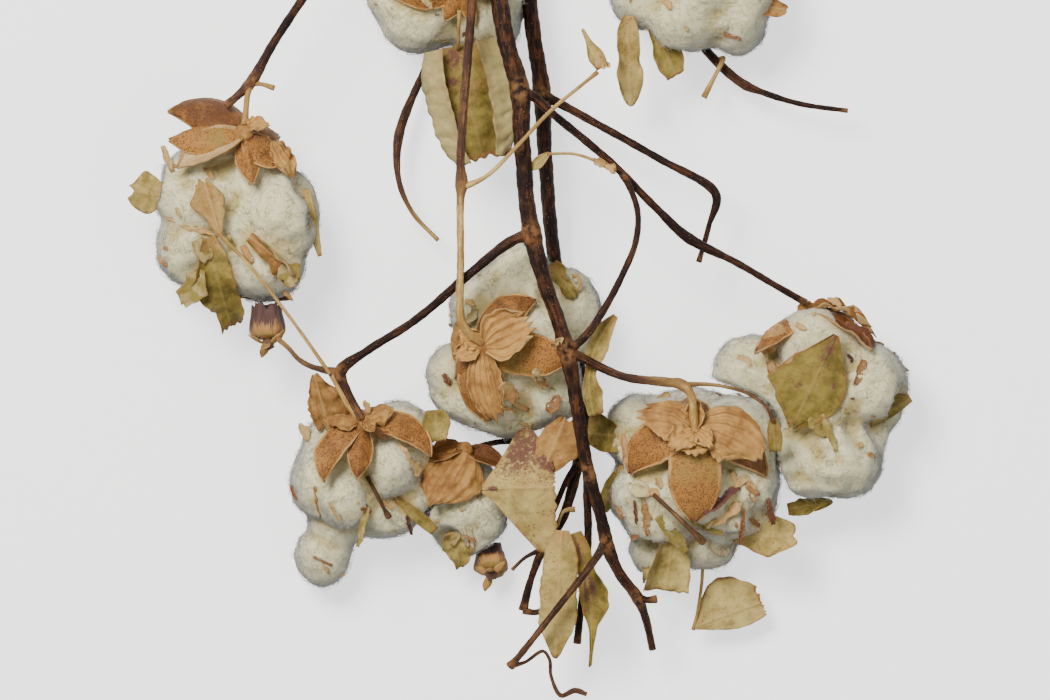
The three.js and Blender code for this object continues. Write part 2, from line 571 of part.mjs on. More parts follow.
// Directions about a boll's stalk: axis points to the stalk, right and up span the plane across it.
function stalkFrame(stalkSide) {
  const axis = vector(stalkSide).normalize();
  const right = new THREE.Vector3(1, 0, 0);
  right.addScaledVector(axis, -right.dot(axis)).normalize();
  return { axis, right, up: axis.clone().cross(right) };
}

// Places a carpel's or a bract's blade at the boll's seat.
function petal(boll, shape, outline, extra) {
  const { axis, right, up } = stalkFrame(boll.stalkSide);
  const outwards = right.clone().multiplyScalar(Math.cos(radians(shape.around)));
  outwards.addScaledVector(up, Math.sin(radians(shape.around)));
  const open = radians(shape.open);
  const forward = outwards.clone().multiplyScalar(Math.sin(open)).addScaledVector(axis, -Math.cos(open));
  const normal = outwards.clone().multiplyScalar(Math.cos(open)).addScaledVector(axis, Math.sin(open));
  const base = vector(boll.seat).addScaledVector(axis, extra.raised).addScaledVector(forward, 1.5);
  return {
    ...extra,
    ...shape,
    base: base.toArray(),
    forward,
    normal,
    side: forward.clone().cross(normal),
    left: outline.map((share) => share * shape.width),
  };
}

const CARPEL = { thickness: CARPEL_THICKNESS, raised: -1 };
const BRACT = {
  thickness: BRACT_THICKNESS, raised: 2.4, ribs: 3, ribHeight: 0.35, teeth: 3, toothDepth: 0.13, round: 0.2,
};

// A boll's husk: its carpels and bracts, rooted in the small cup at the stalk's end.
function huskSolid(name, grow) {
  const boll = BOLLS[name];
  const cup = lumpSolid([...boll.seat, 5, 5, 4], grow, 0);
  const carpels = boll.carpels.map((shape) =>
    bladeSolid(petal(boll, shape, CARPEL_OUTLINE, CARPEL), grow, 3, 4),
  );
  const bracts = boll.bracts.map((shape) =>
    bladeSolid(petal(boll, shape, BRACT_OUTLINE, BRACT), grow, 2, 6),
  );
  return joined([cup, ...carpels, ...bracts]);
}

// ---- buds ------------------------------------------------------------------------------------------
// A shrivelled bud: a small ribbed cup with a frayed mouth. pointing is the way from mouth to stalk.
const BUDS = {
  bud_left: { at: [-128.5, 7, 46], pointing: [0.05, -0.97, 0.2], length: 24, radius: 8.6 },
  bud_lower: { at: [-17, -110.5, 14], pointing: [0, -0.85, 0.53], length: 21, radius: 8.3 },
};
// Radii and places along a bud from its stalk's end to its mouth, as shares of radius and length.
const BUD_PROFILE = [
  [0.02, -0.42], [0.16, -0.4], [0.18, -0.12], [0.62, -0.04], [0.98, 0.12], [1, 0.34], [0.82, 0.58],
  [0.62, 0.62], [0.45, 0.5], [0.02, 0.46],
];

function budSolid({ at, pointing, length, radius }, grow) {
  const profile = BUD_PROFILE.map(
    ([out, up]) => new THREE.Vector2(out * radius + grow, up * length + Math.sign(up - 0.2) * grow),
  );
  profile.unshift(new THREE.Vector2(0, profile[0].y));
  profile.push(new THREE.Vector2(0, profile.at(-1).y));
  const geometry = new THREE.LatheGeometry(profile, 7);
  const upright = new THREE.Vector3(0, 1, 0);
  const turn = new THREE.Quaternion().setFromUnitVectors(upright, vector(pointing).normalize().negate());
  geometry.applyQuaternion(turn);
  geometry.translate(...at);
  return solidOfGeometry(geometry);
}

// ---- leaves ----------------------------------------------------------------------------------------
// A leaf's base, the heading of its midrib (degrees from +X, seen from above), how far it rises from the
// surface and how it is rolled about its midrib. left and right are half widths at even steps along it.
const LEAVES = {
  leaf_folded: {
    base: [-34, 152, 53], heading: -77, rise: -2, length: 58, left: [36, 39, 39, 37, 33, 26],
    right: [28, 35, 36, 35, 33, 24], foldAt: 0.5, fold: 158, wave: 1, rows: 4, columns: 8,
    petiole: [[-32.5, 169, 70, 1.2], [-33, 160, 68, 0.9], [-33.5, 150, 54, 1.0]],
  },
  leaf_hanging: {
    base: [51.5, 167, 46], heading: -88, rise: -10, length: 46, left: [3, 4, 5, 5, 5, 4],
    right: [3, 6, 9, 7, 5, 4], twist: 25, curl: 45,
  },
  leaf_round: {
    base: [63, 164, 38], heading: -64, rise: -12, length: 30, left: [3, 6, 9, 5], right: [3, 5, 8, 6],
    curl: 50, rows: 3,
  },
  leaf_ribbed: {
    base: [-152, 57.5, 66.5], heading: 118, rise: 1, length: 31, left: [1.5, 9, 15, 14, 7],
    right: [1.5, 6, 9, 8, 4], curl: -20, bend: -25, ribs: 3, ribHeight: 0.4, columns: 6,
    petiole: [
      [-152.5, 58, 66.5, 1.1], [-138.8, 44, 67, 0.9], [-116.8, 16, 66, 0.9], [-97, -12, 65, 1.1],
    ],
  },
  leaf_crumpled: {
    base: [-158.2, 56, 58.4], heading: -76, rise: -16, length: 53, left: [4, 7, 8, 8, 8, 6],
    right: [3, 8, 14, 12, 6, 6], curl: 25, twist: 12, bend: -28, wave: 2,
  },
  leaf_curl: {
    base: [-137.3, 56.5, 60.8], heading: -36, rise: -6, length: 31, left: [3, 4, 4, 7, 5],
    right: [3, 5, 5, 10, 7], bend: -28, twist: 30, curl: 60,
  },
  leaf_left_edge: {
    base: [-182, 77.5, 42], heading: 172, rise: 0, length: 15, left: [7, 11, 10, 4], right: [6, 10, 11, 5],
    curl: -30, rows: 3,
  },
  leaf_right_edge: {
    base: [-109.5, 80, 44], heading: -78, rise: -6, length: 34, left: [2, 2.5, 2, 1], right: [2, 3, 2.5, 1],
    rows: 3, columns: 2,
  },
  leaf_serrated: {
    base: [-105, -12, 57], heading: -76, rise: -18, length: 30, left: [1.5, 7, 13, 15],
    right: [1.5, 5, 7, 8], curl: -30, round: 0.2, teeth: 3, toothDepth: 0.1, wave: 1, rows: 3, columns: 6,
  },
  leaf_strip: {
    base: [45.2, 17, 70], heading: -133, rise: 0, length: 53, left: [1.5, 5, 6, 3, 6, 4],
    right: [1.5, 5, 5, 3, 5, 4], sway: -62, curl: 40, twist: 20,
  },
  leaf_tendril: {
    base: [12.5, 42.5, 46.3], heading: -52, rise: -2, length: 21, left: [4, 8, 7, 3], right: [4, 5, 5, 2],
    bend: 20, curl: 40, rows: 3,
  },
  leaf_main: {
    base: [-21.5, -69.5, 50.8], heading: 2, rise: 7, length: 37, left: [2.5, 12, 24, 32, 27, 14],
    right: [2, 9, 19, 28, 35, 32], curl: -12, keel: -3, wave: 1.2, round: 0.04, rows: 4, columns: 8,
  },
  leaf_tan: {
    base: [8.5, -62, 51], heading: 68, rise: -3, length: 31, bend: -16, left: [3, 7, 9, 7, 2],
    right: [3, 9, 13, 13, 5], ribs: 3, ribHeight: 0.4, curl: -20, columns: 5,
  },
  leaf_long: {
    base: [18.5, -90, 49.2], heading: -93, rise: -5, length: 65, left: [5, 8, 8, 8, 9, 7, 2.5],
    right: [4, 8, 8.5, 9, 9, 8, 2.5], curl: -18, bend: -6, rows: 5,
  },
  leaf_olive_tip: {
    base: [25.5, -91, 44], heading: -72, rise: -3, length: 70, left: [3, 6, 7, 9, 8, 3, 1.2, 0.8],
    right: [5, 6, 6, 6, 4, 2, 1.2, 0.8], sway: 18, curl: 50, rows: 6,
  },
  leaf_between: {
    base: [31.2, -41.6, 48.6], heading: -5, rise: -6, length: 15, left: [9, 10, 9, 6], right: [5, 8, 10, 8],
    curl: 35, wave: 1.5, rows: 3,
  },
  leaf_veined: {
    base: [155, 7.5, 63], heading: -115, rise: -2, length: 51, left: [1.5, 9, 15, 17, 13, 3],
    right: [1.5, 9, 16, 22, 16, 3], curl: -22, bend: -12, rows: 5, columns: 5,
  },
  leaf_far_right: {
    base: [193, -24, 34], heading: 212, rise: 6, length: 24, left: [2, 3, 3, 2], right: [2, 8, 9, 5],
    curl: -30, rows: 3,
  },
  leaf_under_right: {
    base: [131.7, -79.8, 26.2], heading: 10, rise: 4, length: 23, left: [3, 4, 4, 3.5], right: [3, 5, 4, 3.5],
    curl: 30, rows: 3,
  },
  leaf_cream_cup: {
    base: [104, -94, 36], heading: 2, rise: 3, length: 32, left: [3, 8, 9, 14, 8],
    right: [2, 5, 9, 10, 5], curl: 35, wave: 1,
  },
  leaf_square: {
    base: [74, -92, 40], heading: -97, rise: -10, length: 29, left: [6, 9, 11, 11], right: [6, 10, 14, 16],
    curlRight: 80, curlLeft: 10, rows: 3,
  },
  leaf_fallen: {
    base: [85.5, -139, 17], heading: 20, rise: 0, length: 36, left: [2, 14, 20, 17, 9],
    right: [1.5, 5, 8, 9, 7], curl: -25, bend: -8, columns: 5,
    petiole: [
      [88.5, -98, 26, 1.1], [89, -112, 22, 0.9], [86.5, -132, 17.5, 0.9], [84.5, -140.5, 16, 1.1],
    ],
  },
  leaf_lower_edge: {
    base: [49.5, -58, 42], heading: -116, rise: -2, length: 25, left: [2, 4, 5, 3], right: [2, 5, 5, 3],
    curl: -50, rows: 3,
  },
  leaf_twig_end: {
    base: [38, 140, 76], heading: 116, rise: 8, length: 22, left: [3, 4.5, 2, 0.8], right: [4, 5, 2, 0.8],
    curl: 60, rows: 3,
  },
  leaf_spoon: {
    base: [12, 98, 74], heading: -138, rise: -6, length: 12, left: [0.8, 2.4, 2.8, 1],
    right: [0.8, 2.4, 2.8, 1], curl: 30, rows: 3,
    petiole: [
      [45, 88.5, 76.5, 1.4], [40, 92, 76.5, 1.8], [34, 94.5, 76, 0.9], [24, 97.5, 75.5, 0.8],
      [11, 97.5, 74, 0.8],
    ],
  },
  leaf_small_olive: {
    base: [123.5, -34, 70], heading: -86, rise: -14, length: 17, left: [2, 3.5, 4, 3],
    right: [2, 3.5, 3.5, 3],
    curl: 25, rows: 3, columns: 2,
  },
  leaf_scrap: {
    base: [-36, -91, 28], heading: -80, rise: -22, length: 20, left: [3, 7, 8, 2], right: [5, 8, 4, 2],
    curl: 45, wave: 1.2, rows: 3,
  },
  leaf_beside_bract: {
    base: [-44.7, -29.8, 51.4], heading: -86, rise: -6, length: 16, left: [4, 7, 6, 4], right: [5, 7, 7, 4],
    curl: 20, rows: 3,
  },
  leaf_sliver: {
    base: [-66, -73, 43], heading: -40, rise: -12, length: 28, left: [1.5, 2.5, 3, 2.5],
    right: [1.5, 2, 3, 2.5], rows: 3, columns: 2,
  },
  leaf_shred: {
    base: [114, 173, 40], heading: -10, rise: 4, length: 17, left: [3, 6, 5, 3], right: [4, 5, 6, 3],
    curl: 60, wave: 1.5, rows: 3,
  },
};

const CREAM_LEAVES = new Set([
  "leaf_ribbed", "leaf_serrated", "leaf_main", "leaf_tan", "leaf_long", "leaf_cream_cup", "leaf_square",
  "leaf_fallen", "leaf_twig_end", "leaf_left_edge", "leaf_right_edge", "leaf_spoon", "leaf_hanging",
  "leaf_shred",
]);

function leafSolid(leaf, grow) {
  const heading = radians(leaf.heading);
  const rise = radians(leaf.rise);
  const level = Math.cos(rise);
  const forward = vector([Math.cos(heading) * level, Math.sin(heading) * level, Math.sin(rise)]);
  const side = vector([Math.sin(heading), -Math.cos(heading), 0]);
  const normal = side.clone().cross(forward);
  const blade = { ...leaf, forward, side, normal, thickness: LEAF_THICKNESS };
  const solid = bladeSolid(blade, grow, leaf.rows, leaf.columns);
  return leaf.petiole ? solid.add(stalk(leaf.petiole, grow, 4)) : solid;
}

// ---- putting it together ---------------------------------------------------------------------------
// Pieces are placed in turn. Each later piece gives way to the ones before it, so the stems stand in the
// husks, and the lint is pressed in under stems, husks and leaves, always with the same small gap.
const bunch = new THREE.Group();
const inPlace = [];
const pressers = [];

function place(name, material, build) {
  const cut = inPlace.reduce((left, other) => left.subtract(other), build(0));
  const shape = largestBody(cut).simplify(SMOOTHING);
  const mesh = meshOf(name, shape, material);
  bunch.add(mesh);
  inPlace.push(build(GAP));
  pressers.push(mesh);
}

for (const [name, stalks] of Object.entries(STEMS)) place(name, BARK, (grow) => stemSolid(stalks, grow));
for (const name of Object.keys(BOLLS)) place(`${name}_husk`, HUSK, (grow) => huskSolid(name, grow));
for (const [name, bud] of Object.entries(BUDS)) place(name, HUSK, (grow) => budSolid(bud, grow));
for (const [name, leaf] of Object.entries(LEAVES)) {
  const material = CREAM_LEAVES.has(name) ? LEAF_CREAM : LEAF_OLIVE;
  place(name, material, (grow) => leafSolid(leaf, grow));
}
for (const name of Object.keys(BOLLS)) place(`${name}_lint`, LINT, (grow) => lintSolid(name, grow));

export default bunch;
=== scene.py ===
import json
import math
import bpy
import numpy as np
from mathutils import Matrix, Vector, noise
from mathutils.bvhtree import BVHTree

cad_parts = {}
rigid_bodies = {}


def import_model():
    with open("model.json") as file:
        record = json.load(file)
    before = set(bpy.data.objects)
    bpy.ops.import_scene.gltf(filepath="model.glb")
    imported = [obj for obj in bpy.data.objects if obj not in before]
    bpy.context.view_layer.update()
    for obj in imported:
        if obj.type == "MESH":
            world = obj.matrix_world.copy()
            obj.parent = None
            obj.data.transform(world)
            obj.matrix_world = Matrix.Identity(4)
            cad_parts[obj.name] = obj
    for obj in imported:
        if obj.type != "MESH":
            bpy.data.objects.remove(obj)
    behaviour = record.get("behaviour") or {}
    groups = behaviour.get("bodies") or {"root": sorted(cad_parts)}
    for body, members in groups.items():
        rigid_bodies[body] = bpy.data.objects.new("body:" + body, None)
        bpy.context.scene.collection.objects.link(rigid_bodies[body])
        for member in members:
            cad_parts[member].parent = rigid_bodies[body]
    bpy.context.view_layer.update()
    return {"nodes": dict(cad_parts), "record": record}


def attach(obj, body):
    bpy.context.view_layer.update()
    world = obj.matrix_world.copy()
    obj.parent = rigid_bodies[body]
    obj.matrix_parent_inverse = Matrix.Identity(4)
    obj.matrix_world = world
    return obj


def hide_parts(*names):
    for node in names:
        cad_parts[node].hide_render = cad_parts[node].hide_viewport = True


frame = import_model()
bpy.ops.object.select_all(action="DESELECT")
MM = 0.001  # tables are in millimetres, the model is in metres


# ---- camera, light and table -------------------------------------------------------------------
# The bunch lies on a plain white table, which is lit a little from within so that shadows on it stay
# faint. The camera looks straight down from far off, and a large soft lamp stands high at the left.
VIEW_WIDTH = 525 * MM  # how much of the bunch the camera takes in, at the height below
VIEW_HEIGHT_OVER_TABLE = 40 * MM
LENS, SENSOR = 400, 36
TABLE_SIZE, TABLE_DROP = 6, 0.2 * MM  # the table lies a hair under the bolls
TABLE_GLOW = 1.3
ROOM_TINT, ROOM_STRENGTH = (0.90, 0.94, 1.0, 1), 0.30

bpy.ops.object.camera_add(location=(0, 0, VIEW_HEIGHT_OVER_TABLE + VIEW_WIDTH * LENS / SENSOR))
camera = bpy.context.object
camera.data.lens = LENS
camera.data.sensor_width = SENSOR
camera.data.clip_end = 100
bpy.context.scene.camera = camera

bpy.ops.mesh.primitive_plane_add(size=TABLE_SIZE, location=(0, 0, -TABLE_DROP))
table = bpy.context.object
table.name = "table"
table.visible_diffuse = False  # the white table doesn't throw its light back under the cotton


def lamp(name, place, size, watts, tint):
    bpy.ops.object.light_add(type="AREA", location=place)
    made = bpy.context.object
    made.name = name
    made.data.size = size
    made.data.energy = watts
    made.data.color = tint
    made.rotation_euler = Vector(place).to_track_quat("Z", "Y").to_euler()


lamp("window_light", place=(-0.95, 1.2, 2.5), size=1.1, watts=122, tint=(1.0, 0.975, 0.93))
lamp("fill_light", place=(1.6, -1.0, 2.2), size=2.4, watts=20, tint=(0.93, 0.96, 1.0))
world = bpy.data.worlds.new("soft_room")
bpy.context.scene.world = world
world.use_nodes = True
world.node_tree.nodes["Background"].inputs["Color"].default_value = ROOM_TINT
world.node_tree.nodes["Background"].inputs["Strength"].default_value = ROOM_STRENGTH


class Wire:
    """A shader's socket. Arithmetic on it adds Math nodes; node() adds any other node."""

    def __init__(self, tree, socket=None):
        self.tree, self.socket = tree, socket

    def node(self, kind, out=0, settings=None, **inputs):
        made = self.tree.nodes.new(kind)
        for name, value in (settings or {}).items():
            if name == "stops":
                ramp = made.color_ramp
                ramp.elements.remove(ramp.elements[1])
                ramp.elements[0].position, ramp.elements[0].color = value[0][0], (*value[0][1], 1)
                for place, colour in value[1:]:
                    ramp.elements.new(place).color = (*colour, 1)
            else:
                setattr(made, name, value)
        for name, value in inputs.items():
            at = int(name[1:]) if name[0] == "i" and name[1:].isdigit() else name.replace("_", " ")
            if isinstance(value, Wire):
                self.tree.links.new(value.socket, made.inputs[at])
            elif value is not None:
                made.inputs[at].default_value = value
        return Wire(self.tree, made.outputs[out] if made.outputs else None)

    def maths(self, operation, first, second=None):
        return self.node("ShaderNodeMath", settings={"operation": operation}, i0=first, i1=second)

    def __add__(self, other): return self.maths("ADD", self, other)
    def __radd__(self, other): return self.maths("ADD", other, self)
    def __sub__(self, other): return self.maths("SUBTRACT", self, other)
    def __rsub__(self, other): return self.maths("SUBTRACT", other, self)
    def __mul__(self, other): return self.maths("MULTIPLY", self, other)
    def __rmul__(self, other): return self.maths("MULTIPLY", other, self)
    def __abs__(self): return self.maths("ABSOLUTE", self)
    def wave(self): return self.maths("SINE", self)
    def ceiling(self, other): return self.maths("MINIMUM", self, other)
    def floor(self, other): return self.maths("MAXIMUM", self, other)

    def band(self, low, high):
        """0 below low, 1 above high, smooth between; high may be the lower one."""
        return self.node("ShaderNodeMapRange", settings={"interpolation_type": "SMOOTHSTEP"},
                         i0=self, i1=low, i2=high)

    def mix(self, first, second):
        """first where this mask is 0 and second where it is 1."""
        colours = [(*c, 1) if isinstance(c, tuple) else c for c in (first, second)]
        return self.node("ShaderNodeMix", out=2, settings={"data_type": "RGBA"},
                         i0=self, i6=colours[0], i7=colours[1])

    def stretched(self, x, y, z):
        return self.node("ShaderNodeVectorMath", settings={"operation": "MULTIPLY"}, i0=self, i1=(x, y, z))

    def mottle(self, scale, detail=3.0, rough=0.5, warp=0.0):
        return self.node("ShaderNodeTexNoise", Vector=self, Scale=scale, Detail=detail,
                         Roughness=rough, Distortion=warp)

    def cells(self, scale):
        return self.node("ShaderNodeTexVoronoi", Vector=self, Scale=scale)

    def part(self, index):
        return self.node("ShaderNodeSeparateXYZ", out=index, Vector=self)

    def attribute(self, name, out=0):
        return self.node("ShaderNodeAttribute", settings={"attribute_name": name}, out=out)


def material(name):
    made = bpy.data.materials.new(name)
    made.use_nodes = True
    made.node_tree.nodes.clear()
    wire = Wire(made.node_tree)
    place = wire.node("ShaderNodeTexCoord", out=3)
    return made, wire, place


def finish(wire, colour, roughness, height=None, depth=None, strength=None, **constants):
    """The last nodes of a material: its bump, its shader and its output."""
    normal = None
    if height is not None:
        normal = wire.node("ShaderNodeBump", Strength=strength, Distance=depth, Height=height)
    shader = wire.node("ShaderNodeBsdfPrincipled", Base_Color=colour, Roughness=roughness, Normal=normal,
                       **constants)
    wire.node("ShaderNodeOutputMaterial", Surface=shader)


table_finish, wire, place = material("pale_table")
finish(wire, place.mottle(3.0).mix((0.88, 0.88, 0.88), (0.90, 0.90, 0.90)), 0.8,
       Emission_Color=(1, 1, 1, 1), Emission_Strength=TABLE_GLOW)
table.data.materials.append(table_finish)


# ---- stems -------------------------------------------------------------------------------------
# Two dry woody stems lie side by side, each with the branches, shoots and bare twigs that grew out
# of it. Each stalk is a tapering tube with raised joints; its bark is ridged, streaked and flecked.

# A stalk is a list of (x, y, z, radius). STALK_TONES gives each one's bark at even steps from root
# to tip, from 0, old and dark, to 1, pale and green-dried.
STEMS = {
    "stem_front": [
        [
            (-36.5, 305, 42, 4.9), (-27.5, 245, 56, 4.7), (-13.5, 178, 69, 4.5), (-8.5, 150, 72, 4.4),
            (-2.5, 129, 73, 4.9), (-1.5, 105, 74, 4.2), (1, 72, 75, 4.1), (3.5, 58, 75, 4.7),
            (10, 32.5, 76, 3.8), (16, 16, 76, 3.6), (21, -1, 75.5, 4.2), (24.5, -20, 73.5, 3.4),
            (28, -42, 70, 3.3), (32, -62, 65, 3.1), (37.5, -82, 59, 3), (41, -97, 54, 3.4),
            (47.5, -112, 46, 2.7), (56, -123.5, 40, 2.9), (60.5, -135, 34, 2), (64, -150, 29, 1.8),
        ],
        [
            (-32.5, 280, 48, 2.6), (-67, 240, 50, 2.4), (-111, 175, 52, 2.2), (-125, 154, 53, 2.2),
            (-137, 133, 54, 2.8), (-143, 127, 55, 2), (-149.5, 121.5, 55, 2.2),
        ],
        [(-137, 133, 54, 1.8), (-138.5, 126, 57, 1.4), (-139.5, 112, 60.5, 1.7)],
        [(-137, 133, 54, 1.3), (-131, 132.5, 55, 1.1), (-125, 130.5, 56, 1.3)],
        [
            (3.5, 58, 75, 3.4), (-6, 54.5, 76, 2.7), (-28, 37.5, 75, 2.3), (-55, 14.5, 71, 2.1),
            (-78, 0, 67, 2.1), (-92, -11, 63, 3), (-88, -22, 63, 2.4), (-81.5, -35, 61, 2.4),
        ],
        [(-97, -10.5, 62, 1.5), (-94.5, -16, 64, 1.2), (-86, -31, 62.5, 1.3), (-82, -36, 60, 1.4)],
        [
            (-92, -11, 63, 2), (-99.5, -10, 61, 1.7), (-107, -8, 59, 1.4), (-113, -4.5, 56, 1.3),
            (-118, 1, 53, 1.2), (-124.5, 6.5, 48.8, 1.3),
        ],
        [
            (21, 0, 75.5, 2.8), (28, -3.8, 76, 2.3), (48.5, -13, 78, 2.1), (70, -16, 80, 2.4),
            (78, -17.2, 80, 2.6), (82.5, -22.5, 80, 2), (84, -32, 78, 1.9), (84.5, -41, 75, 2),
        ],
        [
            (78, -17.2, 80, 1.5), (90, -17, 80, 1), (101, -18.5, 79.5, 0.9), (112, -22.3, 78, 0.9),
            (120, -28.3, 75, 0.9), (123.5, -35.5, 71, 1.1),
        ],
        [
            (21, -1, 75.5, 2.4), (30, 7, 77, 2), (38, 18, 77, 1.9), (48.5, 37.5, 77, 1.7),
            (55, 54, 76, 1.6), (56, 69, 75, 1.5), (51, 83, 74, 1.6), (48, 87.5, 75, 1.6),
        ],
        [
            (-3, 129, 73, 3.4), (4, 126, 73, 2.5), (12.5, 118.5, 72, 2.1), (41.5, 94.5, 67, 2),
            (65, 71, 62, 2), (82, 55.5, 58, 2.7), (104.5, 44, 57, 1.8), (124.5, 32.5, 56, 1.7),
            (140, 23.5, 52, 1.8),
        ],
        [
            (-21.5, 212, 62, 2.6), (-25.5, 180, 76, 2.3), (-28.5, 145, 80, 2.2), (-32, 95, 83, 2.1),
            (-31.5, 82.5, 83, 3), (-32, 74, 83, 1.9), (-32, 45, 82, 1.8), (-31.5, 14, 76, 2.2),
            (-27, 8, 72.5, 2), (-21, 3, 68, 2),
        ],
        [
            (-31.5, 80.5, 83, 1.7), (-19.5, 86, 85, 1.1), (-4, 101, 85.5, 1), (12.5, 118.5, 84, 1),
            (28, 131.5, 80, 0.9), (36, 138, 77, 1.1),
        ],
        [(-21.5, 225, 60, 2.4), (-27, 205, 73, 1.9), (-31, 189, 72, 1.8), (-31.5, 182, 69, 1.8)],
        [
            (40.5, -96, 54, 2.6), (33, -107, 56, 1.9), (12, -134, 54, 1.6), (-4, -154, 48, 1.7),
            (-7.5, -158, 46, 2.2),
        ],
        [
            (-7.5, -158, 46, 1.4), (0, -156, 44, 0.9), (9, -150.5, 41, 0.9), (12.3, -155, 39, 0.9),
            (13, -163, 36, 0.9), (18, -173, 33, 1.2), (25, -170.5, 32, 1.5), (31, -172.5, 32, 1),
        ],
        [
            (31.5, -60, 65.5, 2.4), (31, -72, 56, 2.1), (31.5, -88, 46, 2), (31, -103, 38, 1.9),
            (28.5, -125, 33, 1.8), (26, -147, 30, 1.9),
        ],
        [(56, -123.5, 40, 2), (61, -125, 39.5, 1.6), (66, -124.5, 39, 1.9)],
    ],
    "stem_back": [
        [
            (-16.5, 302.5, 27, 4.3), (-7, 240, 28, 4.1), (2, 175, 28, 4), (5.5, 150, 27, 3.9),
            (8.5, 128, 26, 4.4), (10, 100, 23, 3.7), (12, 70, 18, 3.6), (15, 46, 13, 3.5), (22, 14, 9, 3.3),
            (29, -18, 10, 3.2), (29, -45, 20, 3.2), (26, -60, 28, 2.8), (18.5, -85, 30, 2.4),
            (10, -97.5, 29, 2.2), (3, -115, 27, 1.8), (-1, -130.5, 25, 2.3),
        ],
        [(-1, -130.5, 25, 1.8), (5, -131.5, 25.5, 1.4), (10, -130, 26, 1.5)],
        [(9, -99.5, 29, 1.4), (0, -104, 32, 0.9), (-6.5, -110, 34, 0.9)],
        [
            (8.5, 128, 26, 2.9), (20, 122, 28, 2.2), (42, 110, 30, 2), (67.5, 95.5, 32, 1.9),
            (95.5, 78, 34, 2.4), (92, 62, 32, 1.4), (87, 44, 30, 1.3),
        ],
        [
            (-1, 207, 28, 2.3), (-17.5, 190, 13, 2), (-33, 170, 8, 1.9), (-44, 153.5, 11, 1.9),
            (-52, 137, 14, 1.9), (-63, 109, 18, 2.5), (-63.5, 86, 18, 1.5), (-56.5, 69, 18, 1.2),
            (-43.5, 55, 18, 1),
        ],
        [
            (-10, 262.5, 28, 3), (22.5, 230, 26, 2.8), (57.5, 200, 14, 2.4), (77.5, 170, 8, 2.2),
            (90.5, 151, 12, 2.2), (109.5, 133.5, 20, 2.5), (120, 129, 21, 1.7), (137.5, 123.5, 22, 1.4),
            (162, 120, 22, 1.2),
        ],
        [(22.5, 230, 26, 2.6), (52, 238, 34, 2.1), (72, 240, 41, 2), (85, 229, 43, 2.1)],
        [(98.5, 146, 15.5, 1.5), (99.5, 146, 22, 1.2), (95, 137, 25, 1.1), (89.5, 126.5, 25, 1.5)],
        [(29, -45, 20, 2.2), (10, -46, 19, 1.6), (-12.5, -46, 25, 1.5), (-28, -50, 34, 1.7)],
        [(26.5, -57, 27, 2), (20.5, -66, 37, 1.5), (14, -81, 38, 1.4), (8, -94, 33, 1.3)],
    ],
}
STALK_TONES = {
    "stem_front": [
        (0, 0, 0.05), (0, 0.05, 0.1, 0.45), (0.9, 1), (0.8, 0.9), (0.3, 0.1, 0.15, 0.2, 0.5), (0.85, 1),
        (0.5, 0.75), (0.1, 0.2, 0.6, 0.9, 1), (0.75, 0.6), (0.25, 0.2), (0.05, 0.1),
        (0.3, 0.35, 0.4, 0.5, 0.55, 0.97, 1, 0.9), (0.9, 1, 1), (0.4, 0.7), (0.3, 0.35), (0.5, 0.45),
        (0, 0.1), (0.1, 0.3),
    ],
    "stem_back": [
        (0, 0), (0.2, 0.3), (0.3, 0.4), (0.05, 0.1), (0.1, 0.2, 0.3, 0.9), (0.05, 0.2), (0.05, 0.1),
        (0.9, 1), (0.1, 0.2), (0.05, 0.1),
    ],
}
RINGS_PER_MM = 1 / 1.3  # along a stalk
MAIN_SIDES, STALK_SIDES, THIN_SIDES = 14, 10, 8
STALK_RIDGES = 0.06  # how uneven the bark is, as a share of the radius
JOINT_SWELL, JOINT_LENGTH = 0.1, 3.2  # how much a joint thickens its stalk, and over how many mm
MAIN_JOINT_SHARE = 0.5  # a main stem's joints swell less


def through(points):
    """A smooth line through points (x, y, z, radius), with its radii."""
    p = np.array(points, float)
    ends = np.vstack([2 * p[0] - p[1], p, 2 * p[-1] - p[-2]])
    line = []
    for i in range(len(p) - 1):
        a, b, c, d = ends[i:i + 4]
        gaps = [max(np.linalg.norm(q[:3] - r[:3]), 1e-6) ** 0.5 for q, r in ((b, a), (c, b), (d, c))]
        into = ((b - a) / gaps[0] - (c - a) / (gaps[0] + gaps[1]) + (c - b) / gaps[1]) * gaps[1]
        out = ((c - b) / gaps[1] - (d - b) / (gaps[1] + gaps[2]) + (d - c) / gaps[2]) * gaps[1]
        count = max(2, int(np.linalg.norm(c[:3] - b[:3]) * RINGS_PER_MM))
        t = np.linspace(0, 1, count, endpoint=False)[:, None]
        curve = b + into * t + (3 * (c - b) - 2 * into - out) * t**2 + (2 * (b - c) + into + out) * t**3
        curve[:, 3] = (b[3] + (c[3] - b[3]) * (3 * t**2 - 2 * t**3))[:, 0]
        line.append(curve)
    return np.vstack(line + [p[-1:]])


